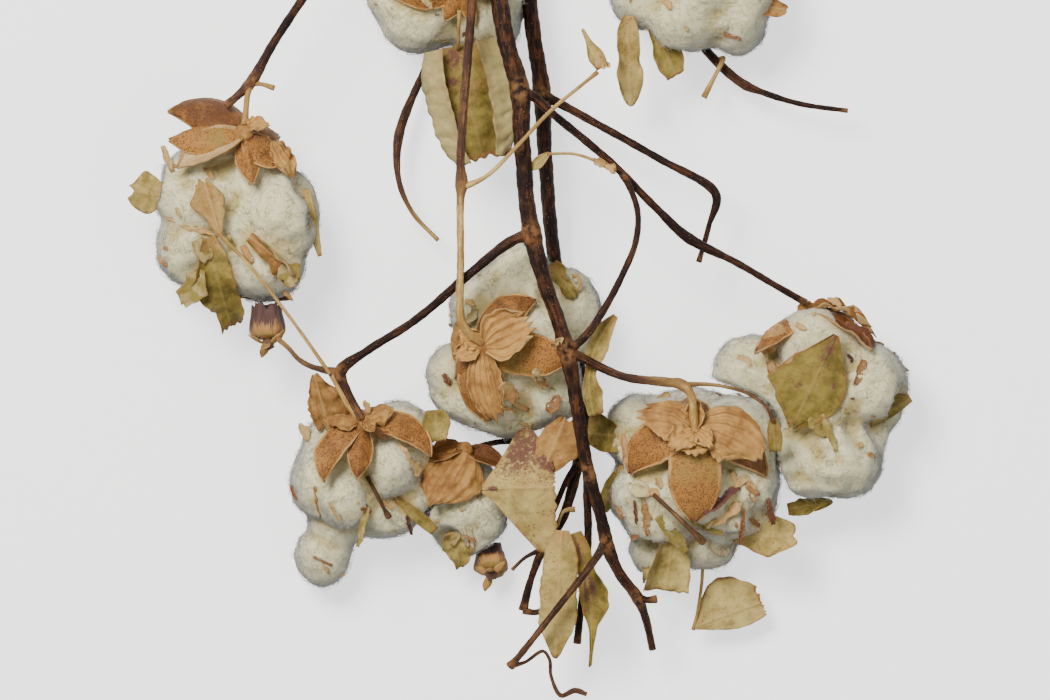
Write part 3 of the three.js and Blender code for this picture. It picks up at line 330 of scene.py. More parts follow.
def tube(line, sides, uneven, seed):
    """A closed tube along a line of (x, y, z, radius): its corners, its faces, and how far along in mm
    and how far around in radians each corner is."""
    points, radii = line[:, :3], line[:, 3]
    tangents = np.gradient(points, axis=0)
    tangents /= np.linalg.norm(tangents, axis=1)[:, None]
    normal = np.array([0.0, 0.0, 1.0]) if abs(tangents[0][2]) < 0.9 else np.array([1.0, 0.0, 0.0])
    turns = 2 * math.pi * (np.arange(sides) + 0.5) / sides
    far = np.concatenate([[0], np.cumsum(np.linalg.norm(np.diff(points, axis=0), axis=1))])
    corners, along_around = [], []
    for k, (at, way, radius) in enumerate(zip(points, tangents, radii)):
        normal = normal - way * normal.dot(way)
        normal /= np.linalg.norm(normal)
        across = np.cross(way, normal)
        ridges = 1 + uneven * (
            np.sin(3 * turns + 0.11 * far[k] + seed) * 0.5
            + np.sin(7 * turns - 0.23 * far[k] + 2 * seed) * 0.3
            + 0.6 * math.sin(0.45 * far[k] + 3 * seed) + 0.4 * math.sin(1.13 * far[k] + seed)
        )
        out = (np.outer(np.cos(turns) * ridges * radius, normal)
               + np.outer(np.sin(turns) * ridges * radius, across))
        corners.append(at + out)
        along_around.append(np.column_stack([np.full(sides, far[k]), turns]))
    return np.vstack(corners), wrapped(len(points), sides), np.vstack(along_around)


def wrapped(rings, sides):
    """The faces of a closed skin over rings of corners, with both ends filled."""
    faces = []
    for i in range(rings - 1):
        for k in range(sides):
            a, b = i * sides + k, i * sides + (k + 1) % sides
            faces.append([a, b, b + sides, a + sides])
    return faces + [list(range(sides))[::-1], [(rings - 1) * sides + k for k in range(sides)]]


def bark_form(along_around, tone, joint, shift):
    """A bark tube's form, for build(): tone and joint at each corner, and the flow of its streaks."""
    far, turn = along_around.T
    share, blank = far / far[-1], 0 * far
    return np.column_stack([blank + tone, joint, share, blank, far + shift, np.cos(turn), np.sin(turn)])


def build(name, parts, materials):
    """One object from parts of (corners in mm, faces, form, which): form is seven or eight numbers a
    corner, which the materials read as form, flow and a mark of stains and painted shade, and which is
    the part's material."""
    corners, faces, form, finishes, start = [], [], [], [], 0
    for points, part_faces, part_form, which in parts:
        corners.append(points)
        faces += [[start + i for i in face] for face in part_faces]
        form.append(part_form)
        finishes += [which] * len(part_faces)
        start += len(points)
    mesh = bpy.data.meshes.new(name)
    mesh.from_pydata((np.vstack(corners) * MM).tolist(), [], faces)
    mesh.polygons.foreach_set("material_index", finishes)
    mesh.polygons.foreach_set("use_smooth", [True] * len(faces))
    form = np.vstack(form).astype(np.float32)
    mesh.attributes.new("form", "FLOAT_COLOR", "POINT").data.foreach_set("color", form[:, :4].ravel())
    mesh.attributes.new("flow", "FLOAT_VECTOR", "POINT").data.foreach_set("vector", form[:, 4:7].ravel())
    if form.shape[1] > 7:
        mesh.attributes.new("stain", "FLOAT", "POINT").data.foreach_set("value", form[:, 7].ravel())
    for one in materials:
        mesh.materials.append(one)
    mesh.update()
    piece = bpy.data.objects.new(name, mesh)
    bpy.context.scene.collection.objects.link(piece)
    return piece


def in_place(piece, slot, *nodes):
    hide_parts(*nodes)
    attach(piece, "root")


# Bark: red-brown over near black, in streaks along the stalk, with pale flecks and grey-tan joints.
bark, wire, place = material("dry_bark")
form, flow = wire.attribute("form"), wire.attribute("flow", out=1)
tone, joint = form.part(0), form.part(1)
streaks = flow.stretched(0.05, 1.5, 1.5).mottle(1.7, 6.0, 0.68, 0.5)
fibres = flow.stretched(0.16, 4.5, 4.5).mottle(2.2, 3.0, 0.6)
blotches = place.mottle(85.0, 5.0, 0.65)
flecks = place.cells(620.0).band(0.20, 0.06) * place.mottle(120.0).band(0.42, 0.6)
worn = (streaks + (blotches - 0.5) * 0.7 + (fibres - 0.5) * 0.4).band(0.44, 0.70)
dark = worn.mix((0.0125, 0.0055, 0.0042), (0.105, 0.036, 0.013))
middle = worn.mix((0.075, 0.034, 0.020), (0.25, 0.115, 0.050))
pale = worn.mix((0.40, 0.225, 0.062), (0.80, 0.555, 0.20))
coat = tone.band(0.12, 0.6).mix(dark, middle)
coat = tone.band(0.55, 0.95).mix(coat, pale)
coat = (joint * place.mottle(260.0, 4.0).band(0.36, 0.62) * 0.75).mix(coat, (0.27, 0.125, 0.045))
coat = (flecks * 0.8).mix(coat, (0.36, 0.24, 0.15))
finish(wire, coat, 0.5 + streaks * 0.3, streaks * 0.7 + fibres * 0.3 + flecks * 0.25 + blotches * 0.4,
       depth=0.6 * MM, strength=0.9, Specular_IOR_Level=0.15)

for name, stalks in STEMS.items():
    lines = [through(points) for points in stalks]
    joints = np.array([line[0, :3] for line in lines[1:]] + [line[-1, :3] for line in lines[1:]])
    parts = []
    for k, line in enumerate(lines):
        tones = STALK_TONES[name][k]
        gap = np.linalg.norm(line[:, None, :3] - joints[None], axis=2).min(axis=1) - line[:, 3] * 0.6
        nearness = np.exp(-(np.maximum(gap, 0) / JOINT_LENGTH) ** 2)
        line[:, 3] *= 1 + JOINT_SWELL * nearness * (MAIN_JOINT_SHARE if k == 0 else 1)
        sides = MAIN_SIDES if k == 0 else STALK_SIDES
        corners, faces, along_around = tube(line, sides, STALK_RIDGES, 1.7 * k)
        tone = np.interp(along_around[:, 0] / along_around[-1, 0], np.linspace(0, 1, len(tones)), tones)
        close = np.repeat(nearness, len(corners) // len(line))
        parts.append((corners, faces, bark_form(along_around, tone, close, 40 * k), 0))
    in_place(build(f"{name}_bark", parts, [bark]), "bark", name)


# ---- husks -------------------------------------------------------------------------------------
# Under each boll sits its dry husk: a small cup at the stalk's end, from which the split carpels
# spread over the lint like stiff brown shells, and outside them the papery bracts with their teeth.

# seat is where the husk joins its stalk, stalk_side the way from the lint to the stalk. around turns
# a blade about the stalk and open is the angle between it and the boll's own axis. bend, curl, sway and
# keel are in degrees too: down its length, across each half, to one side, and where the halves meet.
# tone is from 0, dark, to 1, pale, and may pass both. start is for a blade that begins off its seat,
# lining shows a carpel's pale lining outside too, and full takes the broadest outline.
BOLLS = {
    "boll_lower_right": dict(
        centre=(84.5, -59, 37), seat=(84.5, -41.5, 73.5), stalk_side=(0, 0.42, 0.91),
        carpels=[
            dict(around=166, open=88, length=43, width=25, bend=-58, curl=-35, sway=-78),
            dict(around=270, open=84, length=45, width=28, bend=-58, curl=-38, full=1, tone=0.84),
            dict(around=8, open=88, length=46, width=22, bend=-58, curl=-35, sway=62),
            dict(around=95, open=98, length=30, width=20, bend=-75, curl=-40),
        ],
        bracts=[
            dict(around=148, open=104, length=29, width=22, bend=-40, curl=-20, sway=-25, wave=0.8,
                 rib_height=0.25),
            dict(around=12, open=101, length=38, width=31, bend=-48, curl=-32, sway=72, teeth=0,
                 rib_height=0.3, ribs=7),
            dict(around=262, open=104, length=12, width=21, bend=-20, curl=-30, wave=1.6, crinkle=1.3,
                 tone=1),
            dict(around=215, open=112, length=15, width=15, bend=-40, curl=30, wave=1.6, crinkle=1.4,
                 tone=1),
            dict(around=310, open=114, length=11, width=12, bend=-30, curl=50, wave=1.2, crinkle=1.2,
                 tone=0.9),
            dict(around=92, open=116, length=15, width=12, bend=-35, curl=70, wave=1, crinkle=1.2,
                 tone=0.9),
        ],
    ),
    "boll_middle": dict(
        centre=(-5, 7.5, 32), seat=(-20, 1.5, 66), stalk_side=(-0.36, 0.05, 0.93),
        carpels=[
            dict(around=82, open=86, length=37, width=24, bend=-48, curl=-55, sway=72),
            dict(around=350, open=88, length=41, width=25, bend=-34, curl=-50, tone=0.9, full=1),
            dict(around=243, open=86, length=40, width=28, bend=-42, curl=-50, sway=-42, full=1),
            dict(around=215, open=92, length=29, width=17, bend=-65, curl=-50),
        ],
        bracts=[
            dict(around=24, open=106, length=26, width=25, bend=-34, curl=25, teeth=5, tooth_depth=0.09,
                 round=0.12, ribs=6, rib_height=0.6, edge_curl=1.8, tone=0.75),
            dict(around=266, open=98, length=37, width=19, bend=-45, curl=-30, sway=-22, teeth=3,
                 tooth_depth=0.06, round=0.12, ribs=6, rib_height=0.5, tone=0.5),
            dict(start=(-31, 16, 57), around=251, open=84, length=26, width=11, bend=-35, curl=-50, teeth=0,
                 tone=0.55),
            dict(around=140, open=116, length=13, width=12, bend=-20, curl=50, wave=1.2, crinkle=1.2,
                 tone=1),
            dict(around=196, open=106, length=14, width=13, bend=-30, curl=60, wave=1.2, crinkle=1.2,
                 tone=1.3),
        ],
    ),
    "boll_far_left": dict(
        centre=(-144.5, 64, 35), seat=(-140, 108, 60), stalk_side=(0.05, 0.64, 0.77),
        carpels=[
            dict(around=281, open=86, length=26, width=18, bend=-30, curl=-20, keel=-38, tone=0.75),
            dict(around=181, open=101, length=37, width=26, bend=-42, curl=-80, full=1, tone=0.95,
                 edge_curl=1.8),
            dict(around=127, open=101, length=43, width=29, bend=-32, curl=-62, sway=-64, tone=0.2),
            dict(around=202, open=84, length=36, width=19, bend=-28, curl=35, lining=1),
            dict(around=318, open=84, length=25, width=20, bend=-50, curl=-40, sway=-50, tone=0.5),
            dict(around=40, open=80, length=29, width=18, bend=-60, curl=-50),
        ],
        bracts=[
            dict(start=(-126, 104, 57), around=312, open=80, length=22, width=13, bend=-50, curl=-30,
                 wave=1.2, crinkle=1.2, tone=0.7),
            dict(around=20, open=104, length=12, width=10, bend=-30, curl=50, wave=1, crinkle=1.1, tone=1),
        ],
    ),
    "boll_lower_left": dict(
        centre=(-81.5, -62.5, 34), seat=(-80.5, -37, 60), stalk_side=(0.03, 0.66, 0.75),
        carpels=[
            dict(around=196, open=92, length=38, width=16, bend=-45, curl=-40, sway=-86),
            dict(around=264, open=84, length=28, width=17, bend=-25, curl=-30, keel=-25),
            dict(around=30, open=94, length=41, width=18, bend=-45, curl=-40, sway=98),
            dict(around=95, open=84, length=26, width=18, bend=-60, curl=-50),
        ],
        bracts=[
            dict(around=182, open=106, length=20, width=12, bend=-50, curl=-60, sway=30, tone=0.45, teeth=0,
                 wave=0.9),
            dict(around=35, open=112, length=17, width=15, bend=-50, curl=-70, tone=0.5, teeth=0, wave=1.2),
            dict(around=300, open=112, length=9, width=8, bend=-30, curl=40, wave=1, crinkle=1, tone=0.5,
                 teeth=0),
        ],
    ),
    "boll_far_right": dict(
        centre=(143.5, -25, 36), seat=(140.5, 20, 46), stalk_side=(-0.08, 0.94, 0.32),
        carpels=[
            dict(around=212, open=80, length=35, width=17, bend=-24, curl=-40, sway=-10),
            dict(around=337, open=84, length=38, width=13, bend=-50, curl=-30, keel=25, tone=-0.4,
                 crinkle=0.9),
            dict(around=90, open=70, length=16, width=16, bend=-50, curl=-50),
        ],
        bracts=[
            dict(around=352, open=92, length=38, width=10, bend=-62, curl=60, sway=-14, wave=1.4,
                 crinkle=1.4, tone=-0.6),
        ],
    ),
    "boll_upper_middle": dict(
        centre=(-38.5, 180, 31.5), seat=(-31.5, 180, 65.5), stalk_side=(0.15, -0.02, 0.98),
        carpels=[
            dict(around=245, open=86, length=17, width=13, bend=-30, curl=-70),
            dict(around=292, open=86, length=19, width=10, bend=-30, curl=-70),
            dict(around=20, open=88, length=37, width=23, bend=-48, curl=-50),
            dict(around=104, open=86, length=38, width=24, bend=-50, curl=-50),
            dict(around=183, open=86, length=38, width=22, bend=-46, curl=-50),
        ],
        bracts=[
            dict(around=62, open=106, length=26, width=22, bend=-50, curl=-30),
        ],
    ),
    "boll_upper_right": dict(
        centre=(86, 183, 35), seat=(86, 226, 43), stalk_side=(0.02, 0.98, 0.15),
        carpels=[
            dict(around=275, open=76, length=37, width=25, bend=-40, curl=-50),
            dict(around=350, open=80, length=40, width=24, bend=-50, curl=-50),
            dict(around=190, open=80, length=38, width=24, bend=-50, curl=-50),
            dict(around=90, open=76, length=32, width=20, bend=-50, curl=-50),
        ],
        bracts=[
            dict(around=232, open=96, length=27, width=24, bend=-60, curl=-30),
            dict(around=315, open=98, length=26, width=22, bend=-60, curl=-30),
        ],
    ),
    "boll_behind": dict(
        centre=(-31, -80, 21), seat=(-30.5, -50.5, 35), stalk_side=(0.15, 0.7, 0.7),
        carpels=[
            dict(around=348, open=92, length=21, width=13, bend=-20, curl=-20, keel=25, tone=-0.9),
            dict(around=90, open=80, length=18, width=14, bend=-50, curl=-50),
        ],
        bracts=[
            dict(around=240, open=80, length=35, width=38, bend=-38, curl=-50, teeth=0, round=0.12,
                 ragged=0.03, ribs=7, rib_height=0.4, tone=0.6, full=1),
            dict(around=192, open=84, length=20, width=14, bend=-40, curl=40, crinkle=1.2, teeth=0,
                 tone=-0.5),
        ],
    ),
}
CARPEL_OUTLINE = (0.2, 0.41, 0.5, 0.5, 0.42, 0.25, 0.02)
BRACT_OUTLINE = (0.14, 0.38, 0.5, 0.52, 0.46, 0.34)
FULL_OUTLINE = (0.28, 0.46, 0.51, 0.51, 0.46, 0.34, 0.05)  # of the broadest blades of both kinds
CARPEL = dict(thickness=1.0, raised=-1, crinkle=0.3, ragged=0.03, edge_curl=1.5)
BRACT = dict(thickness=0.5, raised=2.4, ribs=9, rib_height=0.12, teeth=4, tooth_depth=0.07, round=0.3,
             crinkle=0.75, ragged=0.07)
BEND_STEPS = 10  # steps in which a blade's bends are added up
CARPEL_MESH, BRACT_MESH, SMALL_BRACT_MESH = (26, 16), (26, 40), (14, 20)  # rows, columns
SMALL_BRACT = 21  # mm, under which a bract is small
VEIN_GAP, VEIN_SLANT = 7.5, 0.9  # mm between side veins, and how far they lag towards the margin
KNOB_RINGS, KNOB_SIDES = 10, 16
CUP_SIZE = (4.8, 4.8, 3.8)


def read_off(values, share):
    """A smooth reading between evenly spaced values, at shares from 0 to 1 of the way along them."""
    v = np.concatenate([[2 * values[0] - values[1]], values, [2 * values[-1] - values[-2]]])
    at = np.clip(share, 0, 1) * (len(values) - 1)
    i = np.minimum(at.astype(int), len(values) - 2)
    t = at - i
    a, b, c, d = v[i], v[i + 1], v[i + 2], v[i + 3]
    read = b + 0.5 * t * (c - a + t * (2 * a - 5 * b + 4 * c - d + t * (3 * (b - c) + d - a)))
    return np.maximum(read, 0.4 * np.minimum(b, c))


def ripples(x, y, seed, size):
    """Smooth unevenness between about -1 and 1, with features of about that size in mm."""
    k, total = 2 * math.pi / size, 0.0
    for n in range(5):
        turn = 2.4 * n + seed
        across = x * math.cos(turn) + y * math.sin(turn)
        total = total + np.sin(k * (0.6 + 0.23 * n) * across + 5.1 * n + 3.7 * seed)
    return total / 3


def half_width(blade, u, v):
    left = read_off(np.array(blade["left"], float), u)
    right = read_off(np.array(blade.get("right", blade["left"]), float), u)
    return np.where(v < 0, left, right)


def blade_points(blade, u, v):
    """Points of a blade's middle surface at shares u of its length and v of its half width. ragged is
    how torn its margin is, and grain scales its tears and ripples."""
    get = lambda key, other=0: blade.get(key, other)
    length, seed, scale = blade["length"], blade["seed"], get("grain", 1)
    widest = max([*blade["left"], *get("right", blade["left"])])
    teeth = 0
    if get("teeth"):
        teeth = get("tooth_depth") * (4 * abs((get("teeth") * (v + 1) / 2 + 0.5) % 1 - 0.5) - 1)
    reach = u * (1 - get("round") * v * v + teeth * u**3)
    frayed = get("ragged") * widest / length * ripples(v * widest, 0 * v, seed + 4, 7 * scale)
    reach = reach * (1 + frayed * u**2)
    frayed = get("ragged") * ripples(u * length, 3 * np.sign(v), seed, 9 * scale)
    half = np.maximum(half_width(blade, u, v), 0.35) * (1 + frayed * np.minimum(1, 3 * u))
    centre = np.array(blade["base"], float) + 0 * u[:, None]
    ahead, aside_way, normal = (np.array(blade[k], float) for k in ("forward", "side", "normal"))
    for i in range(BEND_STEPS):
        at = reach * (i + 0.5) / BEND_STEPS
        lift, aside = np.radians(get("bend") * at), np.radians(get("sway") * at)
        way = (np.outer(np.cos(lift) * np.cos(aside), ahead)
               + np.outer(np.cos(lift) * np.sin(aside), aside_way) + np.outer(np.sin(lift), normal))
        centre = centre + way * (reach * length / BEND_STEPS)[:, None]
    lift, aside = np.radians(get("bend") * reach), np.radians(get("sway") * reach)
    side = np.outer(np.cos(aside), aside_way) - np.outer(np.sin(aside), ahead)
    up_way = (np.outer(np.cos(lift), normal) - np.outer(np.sin(lift) * np.cos(aside), ahead)
              - np.outer(np.sin(lift) * np.sin(aside), aside_way))
    curl = np.where(v < 0, get("curl_left", get("curl")), get("curl_right", get("curl")))
    across = up = 0
    for i in range(BEND_STEPS):
        at = abs(v) * (i + 0.5) / BEND_STEPS
        folded = np.clip((at - get("fold_at", 0.6)) / 0.22, 0, 1)
        angle = np.radians(get("keel") + curl * at + get("fold") * folded**2 * (3 - 2 * folded))
        across, up = across + np.cos(angle), up + np.sin(angle)
    step = abs(v) * half / BEND_STEPS
    across, up = np.sign(v) * across * step, up * step
    ribs = get("rib_height") * np.cos(math.pi * get("ribs") * v) * np.minimum(1, 3 * u)
    wave = get("wave") * abs(v) * np.sin(6 * math.pi * u + 2 * v)
    crinkle = get("crinkle") * np.minimum(1, 4 * u) * (
        ripples(u * length, v * half, seed, 11 * scale) * 0.7
        + ripples(u * length, v * half, seed + 1, 4.5 * scale) * 0.35)
    edge = get("edge_curl") * np.clip((abs(v) - 0.75) / 0.25, 0, 1) ** 2
    rise = up + ribs + wave + crinkle + edge + get("vein_height") * veins(blade, u, v, half)
    turn = np.radians(get("twist") * u)
    return (centre + side * (across * np.cos(turn) - rise * np.sin(turn))[:, None]
            + up_way * (across * np.sin(turn) + rise * np.cos(turn))[:, None])


def veins(blade, u, v, half):
    """How much of a vein runs through a point: the midrib and the side veins that slant from it."""
    midrib = np.exp(-(v * half / (0.55 - 0.35 * u)) ** 2)
    behind = u * blade["length"] / VEIN_GAP - abs(v) * half * VEIN_SLANT / VEIN_GAP + 0.3 * np.sign(v)
    between = abs((behind % 1) - 0.5) * 2
    side = np.exp(-((1 - between) / 0.09) ** 2) * np.clip(1.4 - abs(v), 0, 1) * 0.6
    return np.maximum(midrib, side)


def blade_part(blade, rows, columns, which, tone):
    """A thin closed blade with its form: where a corner is across and along it, whether it is on the
    underside, and its tone; and its flow: mm along, mm across, and the vein in it."""
    u, v = (g.ravel() for g in np.meshgrid(np.linspace(0, 1, rows + 1), np.linspace(-1, 1, columns + 1),
                                           indexing="ij"))
    middle = blade_points(blade, u, v)
    grid = middle.reshape(rows + 1, columns + 1, 3)
    out = np.cross(np.gradient(grid, axis=1), np.gradient(grid, axis=0)).reshape(-1, 3)
    out /= np.maximum(np.linalg.norm(out, axis=1), 1e-9)[:, None]
    thin = 1 - 0.55 * np.maximum(abs(v) ** 6, u**8)
    half_thick = (blade["thickness"] / 2 * thin)[:, None]
    count, wide = len(u), columns + 1
    rim = [*range(columns), *(i * wide + columns for i in range(rows)),
           *(rows * wide + j for j in range(columns, 0, -1)), *(i * wide for i in range(rows, 0, -1))]
    faces = []
    for i in range(rows):
        for j in range(columns):
            a = i * wide + j
            faces += [[a, a + 1, a + wide + 1, a + wide],
                      [count + a, count + a + wide, count + a + wide + 1, count + a + 1]]
    faces += [[a, count + a, count + b, b] for a, b in zip(rim, rim[1:] + rim[:1])]
    half = half_width(blade, u, v)
    veined = veins(blade, u, v, half)
    form = [np.column_stack([v / 2 + 0.5, u, np.full(count, under), np.full(count, tone), u * blade["length"],
                             v * half + 50 * blade["seed"], veined]) for under in (0.0, 1.0)]
    return np.vstack([middle + out * half_thick, middle - out * half_thick]), faces, np.vstack(form), which


def unit(v):
    return v / np.linalg.norm(v)


def petal(boll, shape, outline, kind, seed):
    """A carpel's or a bract's blade, set at the boll's seat."""
    axis = unit(np.array(boll["stalk_side"], float))
    right = unit(np.array([1.0, 0, 0]) - axis * axis[0])
    up = np.cross(axis, right)
    around, open_ = math.radians(shape["around"]), math.radians(shape["open"])
    outwards = right * math.cos(around) + up * math.sin(around)
    forward = outwards * math.sin(open_) - axis * math.cos(open_)
    normal = outwards * math.cos(open_) + axis * math.sin(open_)
    base = shape.get("start", np.array(boll["seat"]) + axis * kind["raised"] + forward * 1.5)
    return {**kind, **shape, "forward": forward, "normal": normal, "side": np.cross(forward, normal),
            "base": np.array(base, float), "seed": seed,
            "left": [share * shape["width"] for share in (FULL_OUTLINE if "full" in shape else outline)]}


def lump_part(centre, size, which, form, seed, rough):
    """A small closed knob with a knobbly skin."""
    polar, turn = np.meshgrid(np.linspace(0.02, math.pi - 0.02, KNOB_RINGS),
                              np.linspace(0, 2 * math.pi, KNOB_SIDES, False), indexing="ij")
    way = [np.sin(polar) * np.cos(turn), np.sin(polar) * np.sin(turn), np.cos(polar)]
    way = np.stack(way, -1).reshape(-1, 3)
    swell = 1 + rough * ripples(way[:, 0] * 9 + 5 * way[:, 2], way[:, 1] * 9, seed, 6)
    points = np.array(centre) + way * np.array(size) * swell[:, None]
    *skin, top, foot = wrapped(KNOB_RINGS, KNOB_SIDES)  # its rings run downwards, so it is inside out
    faces = [face[:1] + face[:0:-1] for face in skin] + [top[::-1], foot[::-1]]
    flow = np.column_stack([way[:, 0] * 5, way[:, 1] * 5, 0 * way[:, 0]])
    return points, faces, np.column_stack([np.tile(form, (len(points), 1)), flow]), which


def blade_signals(wire):
    """Across, from -1 to 1, along and underside, from 0 to 1, the tone, and the flow."""
    form = wire.attribute("form")
    tone, flow = wire.attribute("form", out=3), wire.attribute("flow", out=1)
    return form.part(0) * 2 - 1, form.part(1), form.part(2), tone, flow


# Carpels: stiff, orange-brown and thick with dark specks outside, darker at the base and tip, with a
# worn paler rim; the palest have an olive shade near the stalk. They are buff inside.
carpel_shell, wire, place = material("carpel_shell")
across, along, under, tone, flow = blade_signals(wire)
edge = abs(across).band(0.80, 0.94).floor(along.band(0.92, 1.0) * 0.5)
grain = flow.stretched(0.12, 0.9, 0).mottle(1.3, 4.0, 0.6)
pits = place.cells(1100.0).band(0.54, 0.24) * place.mottle(420.0, 3.0, 0.6).band(0.30, 0.50)
warts = place.mottle(900.0, 3.0, 0.6)
blotch = place.mottle(115.0, 5.0, 0.62)
outside = (grain * 0.6 + blotch * 1.1 + (tone - 0.5) * 0.6).band(0.52, 1.12).mix(
    (0.125, 0.042, 0.009), (0.45, 0.195, 0.040))
outside = (abs(across).band(0.75, 0.1) * blotch.band(0.3, 0.55) * 0.2).mix(outside, (0.17, 0.062, 0.016))
outside = (pits * 0.78).mix(outside, (0.075, 0.026, 0.010))
outside = (tone.band(0.75, 0.85) * along.band(0.68, 0.3) * blotch.band(0.36, 0.6) * 0.6).mix(
    outside, (0.29, 0.215, 0.050))
outside = (edge * place.mottle(60.0, 4.0).band(0.30, 0.56) * (tone + 0.6).ceiling(1.0).floor(0.0) * 0.75).mix(
    outside, (0.64, 0.38, 0.14))
outside = (along.band(0.80, 1.0) * blotch.band(0.38, 0.6) * 0.75).mix(outside, (0.085, 0.030, 0.012))
outside = (along.band(0.22, 0.0) * blotch.band(0.4, 0.6) * 0.5).mix(outside, (0.11, 0.045, 0.018))
inside = (grain * 0.6 + blotch * 0.5).band(0.3, 0.8).mix((0.42, 0.235, 0.075), (0.72, 0.53, 0.27))
inside = (pits * 0.4 + edge * 0.4).ceiling(1.0).mix(inside, (0.30, 0.13, 0.04))
finish(wire, under.mix(outside, inside), 0.5 + grain * 0.3,
       grain * 0.4 - pits * 0.3 + blotch * 0.5 + warts * 0.3,
       depth=0.5 * MM, strength=0.9, Specular_IOR_Level=0.3)

# Bracts: papery and tan, with brown ribs that run together at the base and dark dry tips.
bract_paper, wire, place = material("bract_paper")
across, along, under, tone, _ = blade_signals(wire)
fan = (across * 17.0 + (place.mottle(70.0) - 0.5) * 5).wave()
fine_fan = (across * 47.0 + (place.mottle(120.0) - 0.5) * 7).wave()
ribs = (fan.band(0.72, 1.0) * 0.6 + fine_fan.band(0.6, 1.0) * 0.3) * along.band(1.15, 0.1)
blotch = place.mottle(80.0, 5.0, 0.62)
fine = place.mottle(380.0, 4.0, 0.65)
paper = (blotch + (tone - 0.5) * 0.6 + (fine - 0.5) * 0.35).band(0.32, 0.76).mix(
    (0.23, 0.092, 0.020), (0.56, 0.30, 0.082))
paper = (ribs * place.mottle(60.0).band(0.25, 0.5)).ceiling(0.9).mix(paper, (0.17, 0.064, 0.016))
paper = (abs(across).band(0.9, 1.0).floor(along.band(0.93, 1.0)) * 0.3).mix(paper, (0.74, 0.52, 0.24))
paper = (along.band(0.74, 1.0) * place.mottle(110.0, 4.0).band(0.48, 0.64) * 0.7).mix(
    paper, (0.15, 0.055, 0.018))
paper = (place.cells(520.0).band(0.22, 0.06) * place.mottle(80.0).band(0.5, 0.66) * 0.75).mix(
    paper, (0.13, 0.045, 0.02))
paper = (under * 0.45).mix(paper, (0.60, 0.41, 0.18))
finish(wire, paper, 0.6 + blotch * 0.25, fan * 0.35 * along.band(1.2, 0.2) + blotch * 0.6 + fine * 0.25,
       depth=0.6 * MM, strength=0.9, Specular_IOR_Level=0.3)

for name, boll in BOLLS.items():
    seat, parts, seed = np.array(boll["seat"], float), [], 2.7 * len(name) + boll["seat"][0]
    parts.append(lump_part(seat, CUP_SIZE, 1, (0.5, 0.1, 0, 0.4), seed, rough=0.12))
    for k, shape in enumerate(boll["carpels"]):
        blade = petal(boll, shape, CARPEL_OUTLINE, CARPEL, seed + 1.3 * k)
        tone = shape.get("tone", 0.35 + 0.3 * math.sin(seed + 2.2 * k) ** 2)
        corners, faces, form, which = blade_part(blade, *CARPEL_MESH, 0, tone)
        form[:, 2] = np.maximum(form[:, 2], shape.get("lining", 0))
        parts.append((corners, faces, form, which))
    for k, shape in enumerate(boll["bracts"]):
        blade = petal(boll, shape, BRACT_OUTLINE, BRACT, seed + 1.9 * k)
        tone = shape.get("tone", 0.4 + 0.35 * math.sin(seed + 3.1 * k) ** 2)
        mesh_size = SMALL_BRACT_MESH if shape["length"] < SMALL_BRACT else BRACT_MESH
        parts.append(blade_part(blade, *mesh_size, 1, tone))
    in_place(build(f"{name}_husk_dry", parts, [carpel_shell, bract_paper]), "husk", f"{name}_husk")


# ---- buds --------------------------------------------------------------------------------------
# Two buds dried before they opened: ribbed brown cups on a stub of stalk, with a dark torn mouth and
# a frill of shrivelled bracts about the base.

# pointing is the way from the mouth to the stalk. The profile is (out, along) in shares of the radius
# and the length, from the stub over the rim and into the mouth.
BUDS = {
    "bud_left": dict(at=(-128.5, 7, 46), pointing=(0.05, -0.97, 0.2), length=24, radius=8.6),
    "bud_lower": dict(at=(-17, -110, 15.8), pointing=(0.03, -0.72, 0.69), length=20, radius=8.2),
}
BUD_PROFILE = [
    (0.02, -0.42), (0.16, -0.4), (0.2, -0.14), (0.6, -0.08), (0.96, 0.08), (1, 0.22), (0.88, 0.42),
    (0.8, 0.62), (0.62, 0.54), (0.02, 0.44),
]
BUD_SIDES, BUD_RINGS = 40, 34
STUB_TO, TORN_FROM, TORN_TO, INSIDE_FROM = 0.45, 0.5, 0.8, 0.78  # shares of the profile
STUB_TONE = 0.6
FOOT_SIZE, FOOT_DROP = (3.1, 3.1, 2.6), 0.17
FRILL_LOBES, FRILL_MESH = 5, (10, 8)
FRILL = dict(left=(1.5, 2.6, 2.2, 0.4), bend=-35, curl=-40, thickness=0.4, crinkle=0.3, ragged=0.12)

bud_husk, wire, place = material("bud_husk")
_, along, under, _, flow = blade_signals(wire)
grain = flow.stretched(0.10, 0.65, 0).mottle(1.3, 3.0, 0.6)
blotch = place.mottle(190.0, 4.0, 0.65)
height = along + (grain - 0.5) * 0.6
colour = height.band(0.40, 0.60).mix((0.46, 0.215, 0.060), (0.075, 0.030, 0.022))
colour = (along.band(0.44, 0.36) * blotch.band(0.42, 0.56) * 0.8).mix(colour, (0.33, 0.25, 0.06))
colour = (along.band(0.26, 0.20) * 0.9).mix(colour, (0.085, 0.036, 0.022))
colour = (grain.band(0.56, 0.70) * 0.5).mix(colour, (0.06, 0.024, 0.014))
colour = under.mix(colour, (0.022, 0.011, 0.008))
finish(wire, colour, 0.7, grain + blotch * 0.6, depth=0.6 * MM, strength=0.9)

